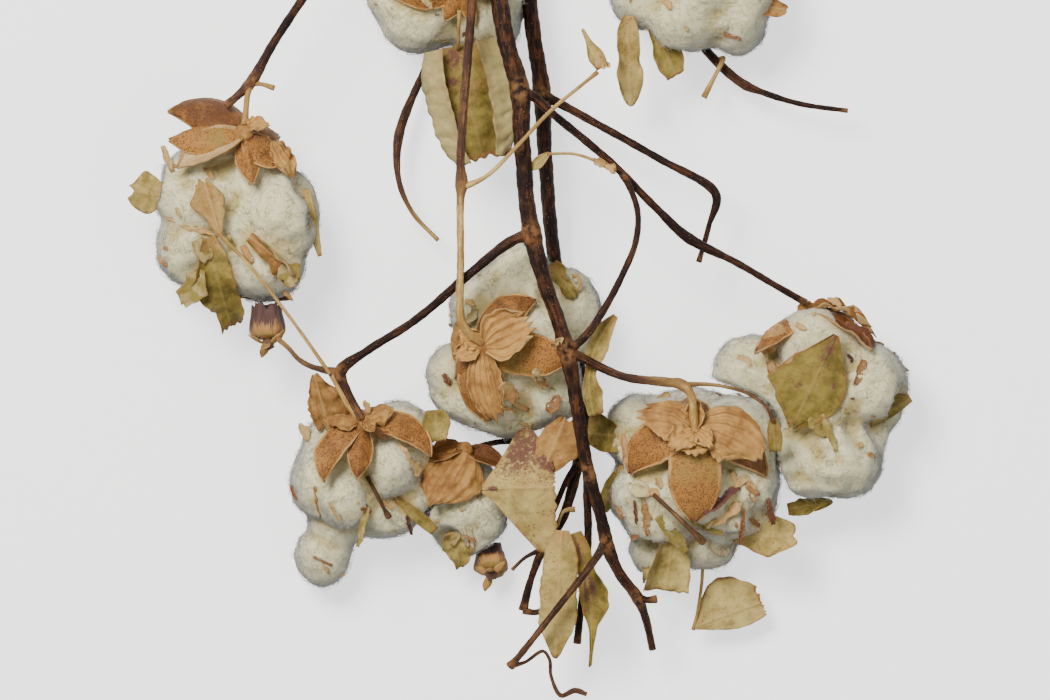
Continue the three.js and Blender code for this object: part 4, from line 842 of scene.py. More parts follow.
for name, bud in BUDS.items():
    axis = -unit(np.array(bud["pointing"], float))
    right = unit(np.cross(axis, (0.3, 0.2, 1.0)))
    up = np.cross(axis, right)
    profile = np.array(BUD_PROFILE)
    rings = np.column_stack([read_off(profile[:, k], np.linspace(0, 1, BUD_RINGS)) for k in (0, 1)])
    rings[:, 0] = np.maximum(rings[:, 0], 0.02)
    turns = 2 * math.pi * np.arange(BUD_SIDES) / BUD_SIDES
    corners, form, blank = [], [], 0 * turns
    for k, (out, up_share) in enumerate(rings):
        share = k / (BUD_RINGS - 1)
        ribs = 1 + 0.10 * np.cos(5 * turns) * min(1, out * 1.5) + 0.03 * np.sin(13 * turns)
        ribbed = out * bud["radius"] * ribs
        tear = 0.07 * np.sin(5 * turns + 1) + 0.05 * np.sin(11 * turns)
        tear = tear * np.clip((share - TORN_FROM) / 0.2, 0, 1) * (share < TORN_TO)
        torn = bud["length"] * (up_share + tear)
        corners.append(np.array(bud["at"]) + np.outer(torn, axis) + np.outer(np.cos(turns) * ribbed, right)
                       + np.outer(np.sin(turns) * ribbed, up))
        form.append(np.column_stack([
            blank + 0.5, blank + share, blank + (share > INSIDE_FROM), blank + (share < STUB_TO) * STUB_TONE,
            torn, turns * bud["radius"], blank]))
    parts = [(np.vstack(corners), wrapped(BUD_RINGS, BUD_SIDES), np.vstack(form), 0)]
    foot = np.array(bud["at"]) - axis * bud["length"] * FOOT_DROP
    parts.append(lump_part(foot, FOOT_SIZE, 0, (0.5, 0.1, 0, 0), len(name), rough=0.2))
    for k in range(FRILL_LOBES):
        turn = 2 * math.pi * k / FRILL_LOBES + 0.4
        out = right * math.cos(turn) + up * math.sin(turn)
        back = 0.9 if k % 2 else -0.25  # some lobes hug the bud and some hang off the stalk
        forward, normal = unit(out * 0.8 - axis * back), unit(-out * back - axis * 0.8)
        lobe = {**FRILL, "base": foot + out * 1.9, "forward": forward, "normal": normal,
                "side": np.cross(forward, normal), "length": bud["length"] * 0.4, "seed": k + len(name)}
        parts.append(blade_part(lobe, *FRILL_MESH, 1, 0.7))
    in_place(build(f"{name}_dry", parts, [bud_husk, bract_paper]), "husk", name)


# ---- leaves ------------------------------------------------------------------------------------
# Thirty dried leaves and scraps of leaf lie curled among the bolls, cream to olive, with raised
# veins, brown edges and specks, and purple-brown patches. Some still hang on their pale petioles.

# heading and rise set the midrib, left and right are half widths at even steps along it. tone runs
# from 0, olive, to 1, cream, and beyond it to red-brown, with side_tone towards the margins. patches
# are purple-brown marks, each (u, v, size): stains, and on leaf_folded painted shadow of its folds
# near the stalk. fold turns each half over by so many degrees at fold_at of its width.
LEAVES = {
    "leaf_folded": dict(
        # Its patches paint the shadow of its folds near the stalk.
        tone=0.05, side_tone=0.6, patches=[(0.3, 0.16, 0.05), (0.1, 0.1, 0.09)],
        base=(-34, 152, 53), heading=-77, rise=-2, length=58, left=(36, 39, 39, 37, 33, 26),
        right=(28, 35, 36, 35, 33, 24), fold_at=0.5, fold=158, wave=0.5, crinkle=1.2, ragged=0.05,
        petiole=[(-32.5, 169, 70, 1.2), (-33, 160, 68, 0.9), (-33.5, 150, 54, 1)],
    ),
    "leaf_hanging": dict(
        tone=0.8, side_tone=0.6,
        base=(51.5, 167, 46), heading=-88, rise=-10, length=46, left=(3, 5, 5.5, 5, 6.5, 6),
        right=(3, 6, 6.5, 6, 7.5, 6.5), twist=12, curl=30, ragged=0.03, round=0.22, crinkle=0.8, wave=0.8,
    ),
    "leaf_round": dict(
        tone=0.3,
        base=(63, 164, 38), heading=-64, rise=-12, length=30, left=(3, 6, 9, 5), right=(3, 5, 8, 6),
        curl=50,
    ),
    "leaf_ribbed": dict(
        tone=1.2,
        base=(-152, 57.5, 66.5), heading=106, rise=1, length=29, left=(1.2, 3.6, 7, 10.5, 5),
        right=(1.2, 4, 6.5, 7.5, 3), curl=-20, bend=-25, ribs=3, rib_height=0.5, teeth=2, tooth_depth=0.08,
        round=0.1,
        petiole=[
            (-152.5, 58, 66.5, 1.1), (-138.8, 44, 67, 0.9), (-116.8, 16, 66, 0.9), (-97, -12, 65, 1.1),
        ],
    ),
    "leaf_crumpled": dict(
        tone=0.2, side_tone=0.35,
        base=(-158.2, 56, 58.4), heading=-76, rise=-16, length=53, left=(4, 7, 8, 8, 8, 6),
        right=(3, 8, 14, 12, 6, 6), curl=25, twist=12, bend=-28, wave=2,
    ),
    "leaf_curl": dict(
        tone=1.3,
        base=(-137.3, 56.5, 61.8), heading=-38, rise=-2, length=30, left=(4, 5.5, 5, 6, 8, 5),
        right=(4, 5.5, 5, 6, 8, 6), bend=-30, twist=-60, curl=95, wave=1.6, edge_curl=1.2,
    ),
    "leaf_left_edge": dict(
        tone=0.6,
        base=(-182, 77.5, 42), heading=172, rise=0, length=15, left=(7, 11, 10, 7), right=(6, 10, 11, 5),
        curl=-30, ragged=0.05, teeth=2, tooth_depth=0.1, wave=0.8,
    ),
    "leaf_right_edge": dict(
        tone=0.75,
        base=(-109.5, 80, 44), heading=-78, rise=-6, length=34, left=(2, 2.5, 2, 1), right=(2, 3, 2.5, 1),
    ),
    "leaf_serrated": dict(
        tone=1.4, ribs=4, rib_height=0.5,
        base=(-105, -12, 57), heading=-76, rise=-18, length=30, left=(1.5, 7, 13, 15), right=(1.5, 5, 7, 8),
        curl=-30, round=0.2, teeth=3, tooth_depth=0.1, wave=1,
    ),
    "leaf_strip": dict(
        tone=0.35, side_tone=0.6,
        base=(45.2, 17, 70), heading=-133, rise=0, length=53, left=(1.5, 5, 6, 3, 6, 4),
        right=(1.5, 5, 5, 3, 5, 4), sway=-62, curl=40, twist=20,
    ),
    "leaf_tendril": dict(
        tone=0.3,
        base=(12.5, 42.5, 46.3), heading=-52, rise=-2, length=21, left=(5, 6, 3.5, 4, 2),
        right=(4, 5, 4, 5, 2), bend=20, curl=60, wave=1.4, ragged=0.14,
    ),
    "leaf_main": dict(
        tone=0.9, patches=[(0.85, -0.75, 0.34), (0.5, -0.66, 0.26), (0.15, 0, 0.1)],
        base=(-21.5, -69.5, 50.8), heading=2, rise=7, length=37, left=(2.5, 12, 24, 32, 27, 14),
        right=(2, 9, 19, 28, 35, 32), curl=-10, keel=-15, wave=0.8, round=0.04, vein_height=0.6,
        ragged=0.025,
    ),
    "leaf_tan": dict(
        tone=1.35,
        base=(8.5, -62, 51), heading=68, rise=-3, length=31, bend=-16, left=(3, 7, 9, 7, 2),
        right=(3, 9, 13, 13, 5), ribs=3, rib_height=0.4, curl=-20,
    ),
    "leaf_long": dict(
        tone=0.85,
        base=(18.5, -90, 49.2), heading=-93, rise=-5, length=65, left=(3.5, 8, 9, 9, 10, 9, 4),
        right=(3.5, 8, 9, 9.5, 9.5, 9, 4), curl=-18, bend=-6, ragged=0.05, round=0.1,
    ),
    "leaf_olive_tip": dict(
        tone=0.05, patches=[(0.46, 0.3, 0.15), (0.38, -0.2, 0.14), (0.16, 0.2, 0.12)],
        base=(25.5, -91, 44), heading=-72, rise=-3, length=68, left=(3, 5, 5, 9.5, 9.5, 3.5, 1.2, 0.8),
        right=(5, 5, 4.5, 6, 5, 2, 1.2, 0.8), sway=24, curl=50,
    ),
    "leaf_between": dict(
        tone=0.35,
        base=(31.2, -41.6, 48.6), heading=-5, rise=-6, length=15, left=(9, 10, 9, 6), right=(5, 8, 10, 8),
        curl=35, wave=1.5,
    ),
    "leaf_veined": dict(
        tone=0.12, patches=[(0.08, 0, 0.24), (0.45, -0.6, 0.05), (0.3, -0.2, 0.03), (0.6, 0.3, 0.04)],
        edge_curl=1.5,
        base=(155, 7.5, 63), heading=-115, rise=-2, length=51, left=(1.5, 9, 15, 17, 13, 3),
        right=(1.5, 9, 16, 22, 16, 3), curl=-22, bend=-12,
    ),
    "leaf_far_right": dict(
        tone=0.35,
        base=(193, -24, 34), heading=212, rise=6, length=24, left=(2, 3, 3, 2), right=(2, 8, 9, 5),
        curl=-30,
    ),
    "leaf_under_right": dict(
        tone=0.35,
        base=(131.7, -79.8, 26.2), heading=10, rise=4, length=23, left=(3, 4, 4, 3.5), right=(3, 5, 4, 3.5),
        curl=30, ragged=0.16, round=0.3, wave=1.4,
    ),
    "leaf_cream_cup": dict(
        tone=0.8,
        base=(104, -94, 36), heading=2, rise=3, length=32, left=(3, 8, 9, 13, 11), right=(2, 5, 9, 11, 9),
        curl=45, wave=1.6, ragged=0.03, round=0.25, edge_curl=1.8, teeth=2, tooth_depth=0.06,
    ),
    "leaf_square": dict(
        tone=0.5, side_tone=0.8,
        base=(74, -92, 40), heading=-97, rise=-10, length=29, left=(6, 9, 11, 11), right=(6, 10, 14, 16),
        curl_right=80, curl_left=10, ragged=0.04,
    ),
    "leaf_fallen": dict(
        tone=0.75,
        base=(85.5, -139, 17), heading=20, rise=0, length=36, left=(2, 14, 20, 17, 9),
        right=(1.5, 5, 8, 9, 7), curl=-25, bend=-8, ragged=0.05, wave=0.8,
        petiole=[
            (88.5, -98, 26, 1.1), (89, -112, 22, 0.9), (86.5, -132, 17.5, 0.9), (84.5, -140.5, 16, 1.1),
        ],
    ),
    "leaf_lower_edge": dict(
        tone=0.3,
        base=(49.5, -58, 42), heading=-116, rise=-2, length=25, left=(2, 4, 5, 3), right=(2, 5, 5, 3),
        curl=-50,
    ),
    "leaf_twig_end": dict(
        tone=0.8,
        base=(38, 140, 76), heading=116, rise=8, length=22, left=(3, 4.5, 2, 0.8), right=(4, 5, 2, 0.8),
        curl=60,
    ),
    "leaf_spoon": dict(
        tone=0.8,
        base=(12, 98, 74), heading=-138, rise=-6, length=12, left=(0.8, 2.4, 2.8, 1),
        right=(0.8, 2.4, 2.8, 1), curl=30,
        petiole=[
            (45, 88.5, 76.5, 1.4), (40, 92, 76.5, 1.8), (34, 94.5, 76, 0.9), (24, 97.5, 75.5, 0.8),
            (11, 97.5, 74, 0.8),
        ],
    ),
    "leaf_small_olive": dict(
        tone=0.3,
        base=(123.5, -34, 70), heading=-86, rise=-14, length=17, left=(2, 3.5, 4, 3),
        right=(2, 3.5, 3.5, 3), curl=25,
    ),
    "leaf_scrap": dict(
        tone=0.45,
        base=(-36, -91, 28), heading=-80, rise=-22, length=20, left=(3, 7, 8, 2), right=(5, 8, 4, 2),
        curl=45, wave=1.2,
    ),
    "leaf_beside_bract": dict(
        tone=0.4,
        base=(-44.7, -29.8, 51.4), heading=-86, rise=-6, length=16, left=(4, 7, 6, 4), right=(5, 7, 7, 4),
        curl=20,
    ),
    "leaf_sliver": dict(
        tone=0.3,
        base=(-66, -73, 43), heading=-40, rise=-12, length=28, left=(1.5, 2.5, 3, 2.5),
        right=(1.5, 2, 3, 2.5),
    ),
    "leaf_shred": dict(
        tone=1.3,
        base=(114, 173, 40), heading=-10, rise=4, length=17, left=(3, 6, 5, 3), right=(4, 5, 6, 3), curl=60,
        wave=1.5,
    ),
}
LEAF = dict(thickness=0.5, crinkle=0.55, ragged=0.09, vein_height=0.28, edge_curl=0.7)
LEAF_MESH_STEP = 1.25  # mm
LEAF_ROWS, LEAF_HALF_COLUMNS = (14, 56), (6, 26)  # the least and the most
PETIOLE_TONE, PETIOLE_RIDGES = 0.9, 0.05

dry_leaf, wire, place = material("dry_leaf")
across, along, under, tone, flow = blade_signals(wire)
vein = flow.part(2)
stain = wire.attribute("stain", out=2)
blotch = place.mottle(70.0, 4.0, 0.6)
fine = place.mottle(420.0, 4.0, 0.65)
edge = abs(across).band(0.86, 1.0).floor(along.band(0.93, 1.0))
olive = (blotch + fine * 0.5).band(0.50, 0.95).mix((0.115, 0.082, 0.010), (0.29, 0.215, 0.040))
cream = (blotch + fine * 0.5).band(0.45, 0.95).mix((0.31, 0.205, 0.048), (0.57, 0.435, 0.145))
skin = (tone + (blotch - 0.5) * 0.9).band(0.22, 0.78).mix(olive, cream)
rust = (fine * 0.6 + blotch * 0.5).band(0.4, 0.8).mix((0.26, 0.105, 0.026), (0.50, 0.255, 0.068))
skin = (tone.band(0.98, 1.35) * 0.9).mix(skin, rust)
skin = (place.mottle(28.0, 4.0, 0.6).band(0.52, 0.70) * fine.band(0.35, 0.6) * 0.55).mix(
    skin, (0.36, 0.175, 0.05))
crumple = place.mottle(130.0, 3.0, 0.7, 0.8)
# Painted shade: the skin is darker where the crumple noise, which also drives the bump, is low.
skin = (crumple.band(0.50, 0.34) * 0.35).mix(skin, (0.20, 0.125, 0.028))
skin = (along.band(0.28, 0.0) * blotch.band(0.32, 0.6) * 0.6).mix(skin, (0.36, 0.17, 0.05))
skin = (vein * (tone.ceiling(1.0) * 0.3 + 0.15)).mix(skin, (0.56, 0.37, 0.14))
skin = (edge * place.mottle(160.0).band(0.40, 0.58) * 0.85).mix(skin, (0.29, 0.105, 0.030))
skin = (place.cells(420.0).band(0.27, 0.09) * place.mottle(60.0, 2.0).band(0.44, 0.60) * 0.85).mix(
    skin, (0.19, 0.062, 0.03))
# Stains, and on leaf_folded painted fold shadow: purple-brown where the patches lie, with darker specks.
skin = ((stain * 1.4).ceiling(1.0) * (fine + blotch * 0.3 + stain * 0.25).band(0.68, 0.86) * 0.92).mix(
    skin, (0.125, 0.044, 0.034))
skin = (stain.band(0.02, 0.25) * place.cells(650.0).band(0.36, 0.2) * 0.8).mix(skin, (0.16, 0.05, 0.03))
skin = (under * 0.4).mix(skin, (0.46, 0.41, 0.20))
finish(wire, skin, 0.6 + fine * 0.3, vein * 0.5 + fine * 0.5 + blotch * 0.3 + crumple * 0.9,
       depth=0.5 * MM, strength=0.9, Specular_IOR_Level=0.3)

for k, (name, leaf) in enumerate(LEAVES.items()):
    heading, rise = math.radians(leaf["heading"]), math.radians(leaf["rise"])
    forward = np.array([math.cos(heading) * math.cos(rise), math.sin(heading) * math.cos(rise),
                        math.sin(rise)])
    side = np.array([math.sin(heading), -math.cos(heading), 0])
    blade = {**LEAF, **leaf, "forward": forward, "side": side, "normal": np.cross(side, forward),
             "seed": 0.7 * k}
    width = max(leaf["left"]) + max(leaf.get("right", leaf["left"]))
    rows = int(np.clip(leaf["length"] / LEAF_MESH_STEP, *LEAF_ROWS))
    columns = 2 * int(np.clip(width / LEAF_MESH_STEP / 2, *LEAF_HALF_COLUMNS))
    points, faces, form, which = blade_part(blade, rows, columns, 0, leaf["tone"])
    v, u = form[:, 0] * 2 - 1, form[:, 1]
    aside = np.clip((abs(v) - 0.35) / 0.4, 0, 1)
    form[:, 3] += (leaf.get("side_tone", leaf["tone"]) - leaf["tone"]) * aside
    # The patches' mark: stains, and painted fold shadow on leaf_folded.
    stain = np.zeros(len(u))
    for pu, pv, size in leaf.get("patches", []):
        stain = np.maximum(stain, np.exp(-((u - pu) ** 2 + ((v - pv) / 1.6) ** 2) / size**2))
    parts = [(points, faces, np.column_stack([form, stain]), which)]
    if "petiole" in leaf:
        corners, faces, along_around = tube(through(leaf["petiole"]), THIN_SIDES, PETIOLE_RIDGES, k)
        share = along_around[:, 0] / along_around[-1, 0]
        close = np.exp(-(np.minimum(share, 1 - share) * 18) ** 2)
        form = bark_form(along_around, PETIOLE_TONE, close, 70 * k)
        parts.append((corners, faces, np.column_stack([form, 0 * share]), 1))
    slot = next(part["material_slot"] for part in frame["record"]["subparts"] if part["node"] == name)
    in_place(build(f"{name}_dry", parts, [dry_leaf, bark]), slot, name)


# ---- cotton ------------------------------------------------------------------------------------
# Each boll's lint is a soft mass of white fibres in four or five swollen locks, pressed in where
# stems, husks and leaves lie on it. It is felted, creased and tufted, cream-stained in places, with
# loose hairs lying over it and standing off its rim, and a little leaf trash caught in it.
FELT_STEP = 1.5 * MM  # size of the felt's mesh
STEEP_FROM, STEEP_OVER = 0.78, 0.62  # of the skin's upward share; below it the lint is painted grey as shade
HOLLOW_GAIN = 2.2  # a mm of dip; the lint is painted darker in hollows and creases as shade
TOUCH_REACH = 2.6  # mm, within which lint near dry things is tinted tan: part stain, part painted contact shade
FELT_FLOOR, HAIR_FLOOR = 0.1 * MM, 0.3 * MM
FUZZ_PER_CM2, WISPS_PER_CM2, HAIRS_IN_WISP = 30, 0.7, 6
FUZZ_REACH, FUZZ_LIFT, WISP_REACH = (1.6, 4.6), (0.25, 0.95), (5, 14)  # mm, a share of the reach, mm
HAIR_TURNS = (0.5, 0.5 + 2.0944, 0.5 + 4.1888)  # of a hair's three sides
FUZZ_RADII, WISP_RADII = (0.11, 0.09), (0.09, 0.10, 0.07)  # mm; the last ring is a point
WISP_LIFTS, LIFT_CHANCES = (0.3, 0.7, 1.4, 2.6), (0.4, 0.3, 0.2, 0.1)  # mm at the hairs' ends
CRUMBS, CRUMB_MESH, CRUMB_TONES = 16, (4, 4), (0.25, 0.45, 0.62, 0.7)  # on each boll
SCRAP_MESH_STEP, SCRAP_LEAST_ROWS, SCRAP_COLUMNS = 1.2, 6, 8
RIM_HEIGHT = 25  # mm, at which scraps lie against a boll's rim

cotton, wire, place = material("cotton_lint")
form = wire.attribute("form")
steep_shade, hollow_shade, touched = form.part(0), form.part(1), form.part(2)
cloud = place.mottle(30.0, 4.0, 0.55)
felt = place.mottle(300.0, 6.0, 0.72, 1.2)
threads = place.mottle(1100.0, 3.0, 0.65, 2.0)
# White to cream at random, and pushed towards the darker cream in hollows as painted shade.
colour = (cloud + hollow_shade * 0.45 + (felt - 0.5) * 0.3).band(0.34, 0.72).mix(
    (0.80, 0.745, 0.475), (0.62, 0.505, 0.215))
colour = (place.mottle(52.0, 5.0, 0.62).band(0.56, 0.74) * felt.band(0.30, 0.65) * 0.7).mix(
    colour, (0.56, 0.40, 0.14))
# Painted shade: the lint turns greyer towards the table.
colour = (place.part(2).band(0.045, 0.012) * 0.45).mix(colour, (0.60, 0.56, 0.43))
# Stain and painted contact shade: lint that touches husks, leaves and stems turns tan.
colour = (touched * felt.band(0.25, 0.6) * 0.75).mix(colour, (0.52, 0.345, 0.125))
# Painted shade: hollows and creases turn darker and browner.
colour = (hollow_shade.band(0.35, 1.0) * 0.45).mix(colour, (0.40, 0.32, 0.17))
# Painted shade: the steep sides and rims of the lint turn grey.
colour = (steep_shade * 0.85).mix(colour, (0.50, 0.50, 0.48))
finish(wire, colour, 0.95, felt * 0.6 + threads * 0.5, depth=0.5 * MM, strength=0.5,
       Specular_IOR_Level=0.1, Subsurface_Weight=0.5, Subsurface_Radius=(1, 1, 1),
       Subsurface_Scale=2.2 * MM)

# Scraps of leaf and husk caught in the cotton, each (x, y) to (x, y), width, tone and curl in degrees.
# tone: 0 near black, 0.12 purple, 0.25 red-brown, 0.45 orange, 0.62 tan, 0.8 olive, 1 cream.
SCRAPS = {
    "boll_lower_right": [
        (54.5, -75, 55.5, -87, 1.8, 0.15, 60), (59, -73.5, 61.5, -93, 4, 0.48, 80),
        (53, -69, 62, -72, 8, 0.98, 120), (62, -69, 67, -74, 5, 0.62, 100),
        (89, -81, 106.5, -68, 5, 0.13, 30), (93, -87, 107.5, -76, 6.5, 0.62, 40),
        (66.5, -83, 80.5, -101, 7, 0.82, 50), (80, -83.5, 99, -91.5, 4.5, 0.85, 70),
        (93, -96.5, 102, -102.5, 6.5, 1, 30), (111, -63.5, 115, -75.5, 4.5, 0.6, 50),
        (103, -60, 106, -68.5, 3, 0.58, 90), (109.5, -79, 107, -97, 2.6, 0.3, 90),
        (66, -63.5, 68, -69, 3.5, 0.5, 40), (49, -42, 51.5, -60, 4.5, 0.55, 90),
        (121, -74, 124, -87, 3.5, 0.2, 80), (95.5, -21.5, 101, -25.5, 1.6, 0.06, 60),
        (110, -68, 117, -72.5, 2.6, 0.42, 80), (104, -68, 111, -63, 4, 0.6, 50),
        (98, -75, 93, -80, 4, 0.66, 60), (53, -95, 56, -92, 3, 0.3, 30), (88, -88, 95, -84, 5, 0.68, 60),
        (72, -22, 66, -27, 5, 0.66, 60), (112, -84, 117, -88, 2.4, 0.34, 70),
        (46, -78, 49.5, -84, 4, 0.4, 60), (60.5, -109, 63, -121, 6, 0.8, 80),
    ],
    "boll_lower_left": [
        (-78.5, -77.5, -83.5, -98, 3.6, 0.85, 70), (-80, -25, -77.5, -32, 3.4, 0.5, 60),
        (-59, -83, -56.5, -92.5, 2.4, 0, 90), (-56.5, -92.5, -51, -96.5, 2, 0, 60),
        (-106, -103.5, -96.5, -108, 1.7, 0.3, 60), (-101, -108, -98, -112, 2, 0.6, 30),
        (-116.5, -67.5, -113.5, -75, 4.4, 0.3, 90), (-112.5, -36.5, -108, -45, 4.6, 0.66, 60),
        (-77, -38, -69, -43.5, 4, 0.3, 60), (-59, -54, -52, -62, 5.5, 0.66, 80),
        (-105, -68, -102, -84, 2.2, 0.4, 60), (-71, -75, -66, -79.5, 2, 0.62, 60),
        (-82, -79, -77, -81, 2.4, 0.35, 60), (-63, -47, -57, -56, 3.6, 0.62, 70),
        (-98, -76, -91, -86, 2.2, 0.62, 70),
    ],
    "boll_middle": [
        (-41, -12, -37, -17.5, 3.2, 0.22, 40), (4, -13, 11.5, -18.5, 4.5, 0.52, 40),
        (-12, -17, -4.5, -25, 8, 0.5, 50), (-12, -28, -5, -31, 2.4, 0.5, 60),
        (11.5, -31, 17.5, -23, 6, 0.36, 80), (-30, 25, -25, 22, 3, 0.62, 60), (-6, -27, 2, -30, 3, 0.5, 60),
        (19, 6, 14, 1, 4.5, 0.62, 60), (-41, 12, -38, 6, 3, 0.1, 60), (-24, 20, -29, 14, 5, 0.98, 90),
        (4, -10, 10, -14, 5, 0.95, 80), (-3, -36, 4, -39, 2, 0.6, 60),
    ],
    "boll_far_right": [
        (129, 12, 117, -1.5, 10, 0.5, -40), (160, 14, 175, 3, 7, 0.2, 90),
        (169, -5, 164.5, -17.5, 4.4, 0.35, 110), (161, -2, 163.5, -6, 2, 0.06, 60),
        (122, -6, 125.5, -17, 5, 0.4, 60), (106.5, -3, 113, -8, 4.5, 0.66, 30),
        (171, -51.5, 175, -54, 2.4, 0.5, 30), (190, -6, 193, -16, 4.4, 0.62, 60),
        (148, -32, 155, -50.5, 3.6, 0.86, 80), (141.5, -34, 151, -42.5, 7, 0.78, 30),
        (159, -29, 161.5, -31.5, 2, 0.6, 30), (151, 26, 158, 22.5, 3.4, 0.62, 60),
        (135, 13, 140, 10, 3, 0.62, 60), (123, -11, 150, 5, 3.2, 0.5, 120), (177, 8, 185, 0, 4, 0.62, 90),
        (168, -46, 166, -49, 1.8, 0.62, 30),
    ],
    "boll_far_left": [
        (-181, 102, -176, 89, 3.6, 0.66, 80), (-160, 91, -155, 85, 2.6, 0.6, 60),
        (-182.5, 47, -179, 42, 3.4, 0.42, 60), (-121, 29.5, -116, 25, 2.4, 0.4, 60),
        (-119, 27, -117, 23, 3, 0.04, 60), (-164, 82, -158.5, 76, 3, 0.66, 50),
        (-141, 52, -136, 43, 4.4, 0.5, 110), (-154, 57, -179, 66, 3.2, 0.6, 70),
        (-163.5, 55, -158, 44, 9, 0.8, 60), (-161, 40, -170, 22, 13, 0.82, 50),
        (-148, 58, -146, 48, 3, 0.85, 80), (-122, 42, -113, 34, 11, 0.8, 30),
        (-174, 71, -171.5, 66, 2, 0.62, 30),
    ],
    "boll_behind": [
        (-31, -88, -29, -99, 2.6, 0.98, 60), (-27, -89, -26, -101, 2.4, 0.98, -60),
        (-33, -91, -37, -98, 4, 0.8, 60), (-29.5, -93, -24.5, -96, 2, 0.4, 60),
    ],
    "boll_upper_middle": [
        (-31, 157, -20, 160.5, 2.6, 0.18, 60), (-52, 176, -46, 170, 3, 0.66, 60),
    ],
    "boll_upper_right": [
        (99, 158, 108, 155, 2.4, 0.3, 60), (68, 176, 73, 170, 3.4, 0.62, 60),
        (40, 92, 34, 94.5, 5, 0.5, 90), (40, 92, 45, 88.5, 4.5, 0.62, 90),
        (38, 140.5, 36.2, 144.5, 5.5, 0.55, 80), (37.6, 141, 42, 142, 4, 0.66, 60),
    ],
}

# Left and right half widths of a scrap, in shares of its width; scraps take the two in turn.
SCRAP_OUTLINES = (
    ((0.3, 0.5, 0.42, 0.5, 0.2), (0.34, 0.42, 0.52, 0.38, 0.3)),
    ((0.12, 0.36, 0.62, 0.4, 0.1), (0.15, 0.5, 0.4, 0.56, 0.2)),
)

litter, wire, place = material("leaf_litter")
across, _, _, tone, _ = blade_signals(wire)
speckle = place.mottle(260.0, 4.0, 0.65)
colour = wire.node("ShaderNodeValToRGB", Fac=tone + (speckle - 0.5) * 0.06, settings={"stops": [
    (0.0, (0.030, 0.014, 0.010)), (0.12, (0.115, 0.042, 0.036)), (0.25, (0.17, 0.060, 0.020)),
    (0.45, (0.36, 0.175, 0.055)), (0.62, (0.56, 0.34, 0.12)), (0.72, (0.50, 0.36, 0.13)),
    (0.8, (0.22, 0.165, 0.025)), (0.88, (0.33, 0.26, 0.06)), (1.0, (0.68, 0.56, 0.29))]})
colour = (place.mottle(170.0, 3.0).band(0.48, 0.6) * tone.band(0.3, 0.5) * 0.65).mix(
    colour, (0.50, 0.38, 0.17))
colour = (speckle.band(0.5, 0.66) * 0.6).mix(colour, (0.20, 0.085, 0.03))
colour = (abs(across).band(0.75, 1.0) * 0.4).mix(colour, (0.30, 0.13, 0.04))
finish(wire, colour, 0.65, speckle, depth=0.4 * MM, strength=0.8, Specular_IOR_Level=0.3)


def apply_modifier(piece, kind, **settings):
    bpy.context.view_layer.objects.active = piece
    made = piece.modifiers.new(kind.lower(), kind)
    for name, value in settings.items():
        setattr(made, name, value)
    bpy.ops.object.modifier_apply(modifier=made.name)


def clouds(name, size, depth):
    made = bpy.data.textures.new(name, "CLOUDS")
    made.noise_scale, made.noise_depth = size, depth
    return made


# How the felt is lifted: a texture and its strength in mm.
FELT_NOISE = [(clouds("swell", 17 * MM, 1), 3.0), (clouds("tuft", 7 * MM, 2), 1.3),
              (clouds("fluff", 2.6 * MM, 1), 0.3)]


def vectors(vertices, kind):
    """The places, "co", or the normals, "normal", of a mesh's vertices."""
    values = np.empty(len(vertices) * 3)
    vertices.foreach_get(kind, values)
    return values.reshape(-1, 3)


def spread(values, edges, times):
    """Values at corners, each evened out with its neighbours'."""
    ends, others = np.concatenate([edges, edges[:, ::-1]]).T
    share = 1 / np.bincount(ends, minlength=len(values))
    for _ in range(times):
        values = (values + np.bincount(ends, values[others], len(values)) * share) / 2
    return values


def hair_mesh(name, paths, outwards, radii, form):
    """Three-sided hairs that end in a point. paths has each hair's places, from root to end, and
    outwards the skin's way out at each; radii, in mm, are those before the end."""
    along = np.gradient(paths, axis=1)
    along /= np.maximum(np.linalg.norm(along, axis=2), 1e-9)[..., None]
    across = np.cross(along, outwards)
    across /= np.maximum(np.linalg.norm(across, axis=2), 1e-9)[..., None]
    over = np.cross(across, along)
    radii = np.array(radii)[None, :, None] * MM
    rings = np.stack([paths[:, :-1] + radii * (math.cos(a) * over + math.sin(a) * across)[:, :-1]
                      for a in HAIR_TURNS], axis=2)
    hairs, stations = rings.shape[:2]
    corners = np.concatenate([rings.reshape(hairs, -1, 3), paths[:, -1:]], axis=1)
    first = np.arange(hairs)[:, None] * (stations * 3 + 1)
    ring = first + np.arange(stations - 1) * 3
    quads = [np.stack([ring + a, ring + b, ring + b + 3, ring + a + 3], -1).reshape(-1, 4)
             for a, b in ((0, 1), (1, 2), (2, 0))]
    end = first + (stations - 1) * 3
    tips = [np.hstack([end + a, end + b, first + stations * 3]) for a, b in ((0, 1), (1, 2), (2, 0))]
    faces = np.vstack(quads).tolist() + np.vstack(tips + [np.hstack([first, first + 2, first + 1])]).tolist()
    mesh = bpy.data.meshes.new(name)
    mesh.from_pydata(corners.reshape(-1, 3).tolist(), [], faces)
    mesh.polygons.foreach_set("use_smooth", [True] * len(faces))
    form = np.repeat(form, stations * 3 + 1, axis=0).astype(np.float32)
    mesh.attributes.new("form", "FLOAT_COLOR", "POINT").data.foreach_set("color", form.ravel())
    mesh.materials.append(cotton)
    loose = bpy.data.objects.new(name, mesh)
    bpy.context.scene.collection.objects.link(loose)
    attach(loose, "root")


# Where lint has swollen over the husk or into a gap: a middle, a radius and a rise, in mm. A rise
# below 0 presses a crease in.
PUFFS = {
    "boll_far_right": [((141, 9, 46), 14, 9), ((150, 12, 44), 10, 4)],
    "boll_middle": [((-40, -3, 34), 13, 8)],
    "boll_far_left": [
        ((-147, 94, 57), 5, -4), ((-146, 86, 61), 5, -4), ((-144, 78, 64), 5, -4), ((-142, 70, 65), 5, -3),
    ],
}

